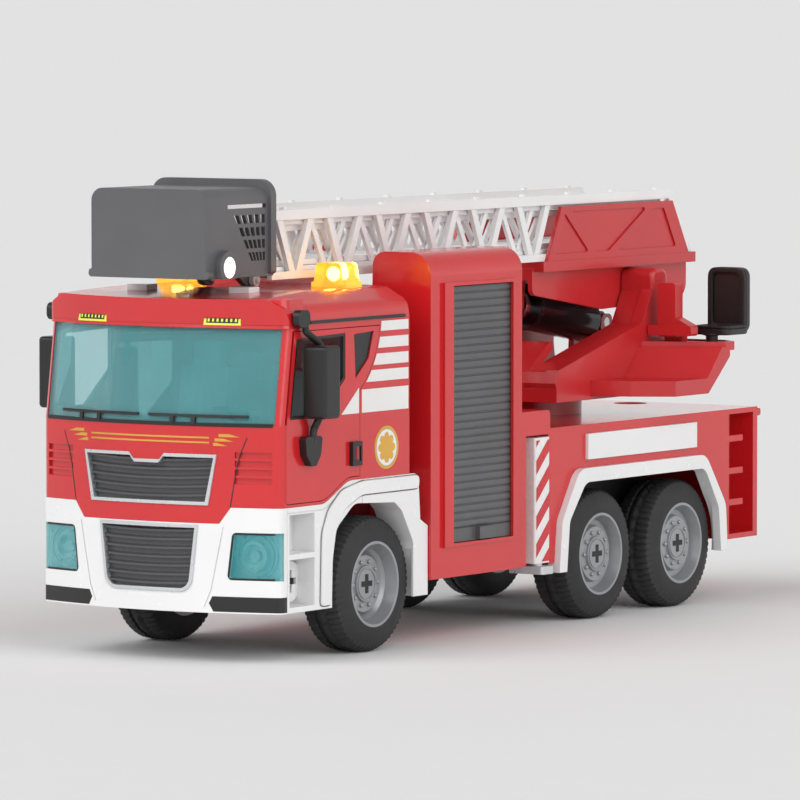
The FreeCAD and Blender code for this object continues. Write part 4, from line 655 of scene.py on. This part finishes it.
def headlamp_details():
    """A dark frame line round each headlamp glass and turned rings round its bulb."""
    low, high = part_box("headlamp_lenses")
    z0 = low[2]
    z1 = high[2]
    edge = 0.0011
    slope = 0.003 / (z1 - z0)
    outer_x = 0.0745
    frames = []
    rings = []
    for _, side in SIDES:
        inner = lambda z: 0.0485 + (z - z0) * slope
        heights = [z0 + (z1 - z0) * i / 6 for i in range(7)]
        frames.append(strip("frame", [(inner(z) * side, z) for z in heights],
                            [((inner(z) + edge) * side, z) for z in heights], on_bumper, -0.0001))
        for low_z, high_z in ((z0, z0 + edge), (z1 - edge, z1)):
            start = inner(low_z)
            across = [start + (outer_x - start) * i / 12 for i in range(13)]
            frames.append(strip("frame", [(x * side, low_z) for x in across],
                                [(x * side, high_z) for x in across], on_bumper, -0.0001))
        centre = (0.061 * side, 0.0585)
        for r, depth in ((0.0064, 0.0046), (0.0102, 0.0016), (0.0122, 0.0012)):
            rings.append(front_ring(centre, r, 0.0008, -0.2432, depth))
    put(merged("headlamp_frames", frames), "truck", "black_plastic", MATERIALS["black_plastic"])
    put(merged("headlamp_rings", rings), "truck", "silver_plastic", MATERIALS["silver_plastic"])


def front_ring(centre, radius, width, back, depth, points=48):
    """A raised ring facing the front of the truck."""
    verts = []
    section = [(radius, 0.0), (radius, depth), (radius + width, depth), (radius + width, 0.0)]
    for k in range(points):
        angle = 2 * math.pi * k / points
        for r, rise in section:
            verts.append((centre[0] + r * math.cos(angle), back - rise, centre[1] + r * math.sin(angle)))
    faces = []
    for k in range(points):
        n = (k + 1) % points
        for j in range(4):
            m = (j + 1) % 4
            faces.append((4 * k + j, 4 * k + m, 4 * n + m, 4 * n + j))
    return mesh_object("ring", verts, faces)


def beacon_bulbs():
    """A warm bulb inside each amber beacon."""
    low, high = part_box("beacons")
    y = (low[1] + high[1]) / 2
    x = (high[0] + 0.041) / 2
    z = high[2] - 0.0062
    pieces = []
    for _, side in SIDES:
        profile = [(x * side + 0.004 * math.cos(a), max(0.00001, 0.004 * math.sin(a)))
                   for a in [math.pi * i / 12 for i in range(13)]]
        pieces.append(lathe("bulb", profile, (y, z), 32, closed=False))
    put(merged("beacon_bulbs", pieces), "truck", "beacon_amber", BULB)


def face_seams():
    """The fine seam that runs down each end of the cab's face, past the vents."""
    line = [(0.0595, 0.1220), (0.0556, 0.1125), (0.0536, 0.1045), (0.0502, 0.0848)]
    width = 0.0006
    pieces = []
    for _, side in SIDES:
        left = [(x * side, z) for x, z in line]
        right = [((x + width) * side, z) for x, z in line]
        pieces.append(strip("seam", left, right, on_bumper, 0.00008))
    put(merged("face_seams", pieces), "truck", "chassis_black", MATERIALS["chassis_black"])


def wing_rims():
    """The wide raised band round each front wheel arch."""
    outer = [(-0.1125, 0.0952), (-0.1700, 0.0952), (-0.1900, 0.0915),
             (-0.2030, 0.0815), (-0.2092, 0.0690), (-0.2105, 0.0292)]
    inner = [(-0.1992, 0.0292), (-0.1984, 0.0540), (-0.1948, 0.0700),
             (-0.1868, 0.0800), (-0.1700, 0.0868), (-0.1125, 0.0868)]
    outline = rounded(outer + inner, 0.0035)
    wing_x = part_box("front_wings")[1][0]
    for word, side in SIDES:
        near = (wing_x - 0.0002) * side
        far = (wing_x + 0.0011) * side
        band = extruded("wing_rim_" + word, outline, on_side, near, far)
        put(soften(band, 0.0007, 3), "truck", "white_body", MATERIALS["white_body"])


def step_cross_shades():
    """A dark cross in the round plug beside each lower boarding step: painted shade for the shaded cross
    recess of its screw.
    """
    outline = cross_outline((-0.222, 0.0435), 0.0058, 0.0017)
    pieces = [extruded("mark", outline, on_side, 0.0649 * side, 0.0655 * side) for _, side in SIDES]
    # the crosses are painted shade, not a printed mark
    put(merged("step_cross_shades", pieces), "truck", "chassis_black", MATERIALS["chassis_black"])


def tail_lamps():
    """Three round-cornered lenses in a dark frame at each end of the tail panel."""
    back = TAIL_Y - TAIL_LIP
    holders = []
    reds = []
    whites = []
    for _, side in SIDES:
        frame_outline = rounded([(a * side, b) for a, b in rectangle(0.042, 0.071, 0.052, 0.064)], 0.0025)
        holders.append(extruded("holder", frame_outline, on_end, back - 0.0005, back + 0.0016))
        for x, kind in ((0.0439, reds), (0.0529, reds), (0.0619, whites)):
            outline = rounded([(a * side, b) for a, b in rectangle(x, x + 0.0075, 0.0538, 0.0622)], 0.0015)
            kind.append(extruded("lens", outline, on_end, back + 0.001, back + 0.0026))
    put(soften(merged("tail_holders", holders), 0.0004), "truck", "black_plastic", MATERIALS["black_plastic"])
    put(soften(merged("tail_lenses_red", reds), 0.0005), "truck", "red_body", RED_LENS)
    put(soften(merged("tail_lenses_white", whites), 0.0005), "truck", "lamp_white", MATERIALS["lamp_white"])


def seat():
    """The operator's moulded bucket seat: a raised round-cornered border round pan and back."""
    low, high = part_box("operator_seat")
    middle = (low[0] + high[0]) / 2
    half = (high[0] - low[0]) / 2
    pan_z = 0.1620
    lip = 0.0032
    back_y = high[1] - 0.0040
    back_plate = [(a + middle, b) for a, b in rectangle(-half, half, pan_z - 0.0045, high[2])]
    shell = extruded("seat_back", rounded(back_plate, 0.0062, 8), on_end, back_y - 0.0012, high[1])
    border = rounded(back_plate, 0.0062, 8)
    back_inset = [(a + middle, b) for a, b in rectangle(lip - half, half - lip, pan_z, high[2] - lip)]
    rim = frame_plate("seat_rim", border, rounded(back_inset, 0.0042, 8), on_end,
                      back_y - 0.0034, back_y - 0.0010)
    pan_plate = [(a + middle, b) for a, b in rectangle(-half, half, low[1], high[1] - 0.0005)]
    pan = extruded("seat_pan", rounded(pan_plate, 0.0048, 8), on_top, pan_z - 0.0048, pan_z - 0.0009)
    pan_inset = [(a + middle, b)
                 for a, b in rectangle(lip - half, half - lip, low[1] + lip, back_y - 0.0030)]
    pan_rim = frame_plate("pan_rim", rounded(pan_plate, 0.0048, 8), rounded(pan_inset, 0.0030, 8),
                          on_top, pan_z - 0.0012, pan_z + 0.0006)
    seat_mesh = soften(merged("seat_shell", [shell, rim, pan, pan_rim]), 0.0006, 2)
    put(seat_mesh, "turret", "seat_black", MATERIALS["seat_black"], "operator_seat")
    post = lathe("seat_post", [(0.0, 0.0036), (0.0042, 0.0036), (0.0048, 0.0060), (0.0056, 0.0060),
                               (0.0056, 0.0001), (0.0, 0.0001)], (0, 0), 40)
    for vertex in post.data.vertices:
        along, a, b = vertex.co
        vertex.co = (middle + a, POST_Y + b, low[2] + along)
    smooth_by_angle(post)
    put(post, "turret", "seat_black", MATERIALS["seat_black"])


def frame_plate(name, outer, inner, place, near, far):
    """A flat frame between two outlines with as many points each."""
    count = len(outer)
    verts = []
    for outline in (outer, inner):
        for depth in (near, far):
            verts += [place(a, b, depth) for a, b in outline]
    rings = (0, count, 3 * count, 2 * count)
    faces = []
    for step in range(4):
        first = rings[step]
        second = rings[(step + 1) % 4]
        for i in range(count):
            n = (i + 1) % count
            faces.append((first + i, first + n, second + n, second + i))
    return mesh_object(name, verts, faces)


# ---------------------------------------------------------------- stage, light, camera
def stage():
    """One broad pale floor, and a room that is bright at the sides and dim overhead."""
    reach = 120.0
    corners = [(a, b, 0) for a, b in rectangle(-reach, reach, -reach, reach)]
    floor = mesh_object("floor", corners, [(0, 1, 2, 3)])
    floor.data.materials.append(plastic("floor_paper", (0.88, 0.88, 0.88), 0.8, spread=0.004))
    world = bpy.data.worlds.new("studio")
    bpy.context.scene.world = world
    world.use_nodes = True
    tree = world.node_tree
    sky = tree.nodes["Background"]
    place = tree.nodes.new("ShaderNodeTexCoord")
    split = tree.nodes.new("ShaderNodeSeparateXYZ")
    shade = tree.nodes.new("ShaderNodeMapRange")
    shade.inputs["From Min"].default_value = 0.05
    shade.inputs["From Max"].default_value = 0.85
    shade.inputs["To Min"].default_value = 0.95
    shade.inputs["To Max"].default_value = 0.12
    tree.links.new(place.outputs["Generated"], split.inputs["Vector"])
    tree.links.new(split.outputs["Z"], shade.inputs["Value"])
    tree.links.new(shade.outputs["Result"], sky.inputs["Strength"])
    sky.inputs["Color"].default_value = (1.0, 1.0, 1.0, 1)


def soft_sun(name, towards, strength, spread):
    """An even light from far away with soft shadows; towards points from the truck to the light."""
    data = bpy.data.lights.new(name, "SUN")
    data.energy = strength
    data.angle = math.radians(spread)
    lamp = bpy.data.objects.new(name, data)
    lamp.rotation_euler = Vector(towards).to_track_quat("Z", "Y").to_euler()
    bpy.context.collection.objects.link(lamp)


def lights():
    soft_sun("key", (-0.35, -1.0, 0.95), 1.5, 50)
    soft_sun("side", (1.0, -0.25, 0.7), 1.25, 60)


def camera():
    data = bpy.data.cameras.new("view")
    data.lens = 323.6
    data.sensor_width = 36.0
    data.clip_end = 400
    eye = Vector((2.2115, -3.4132, 0.3821))
    target = Vector((-0.0082, 0.0022, 0.12665))
    obj = bpy.data.objects.new("view", data)
    obj.location = eye
    obj.rotation_euler = (target - eye).to_track_quat("-Z", "Y").to_euler()
    bpy.context.collection.objects.link(obj)
    bpy.context.scene.camera = obj
    bpy.context.scene.view_settings.view_transform = "Standard"


finish_frame()
wheels()
for word, side in SIDES:
    shutter_curtain(word, side)
    cab_print(word, side)
    leg_stripes(word, side)
front_print()
screen_seal()
cab_gutters()
marker_bars()
headlamp_details()
beacon_bulbs()
face_seams()
wing_rims()
step_cross_shades()
tail_lamps()
seat()
stage()
lights()
camera()
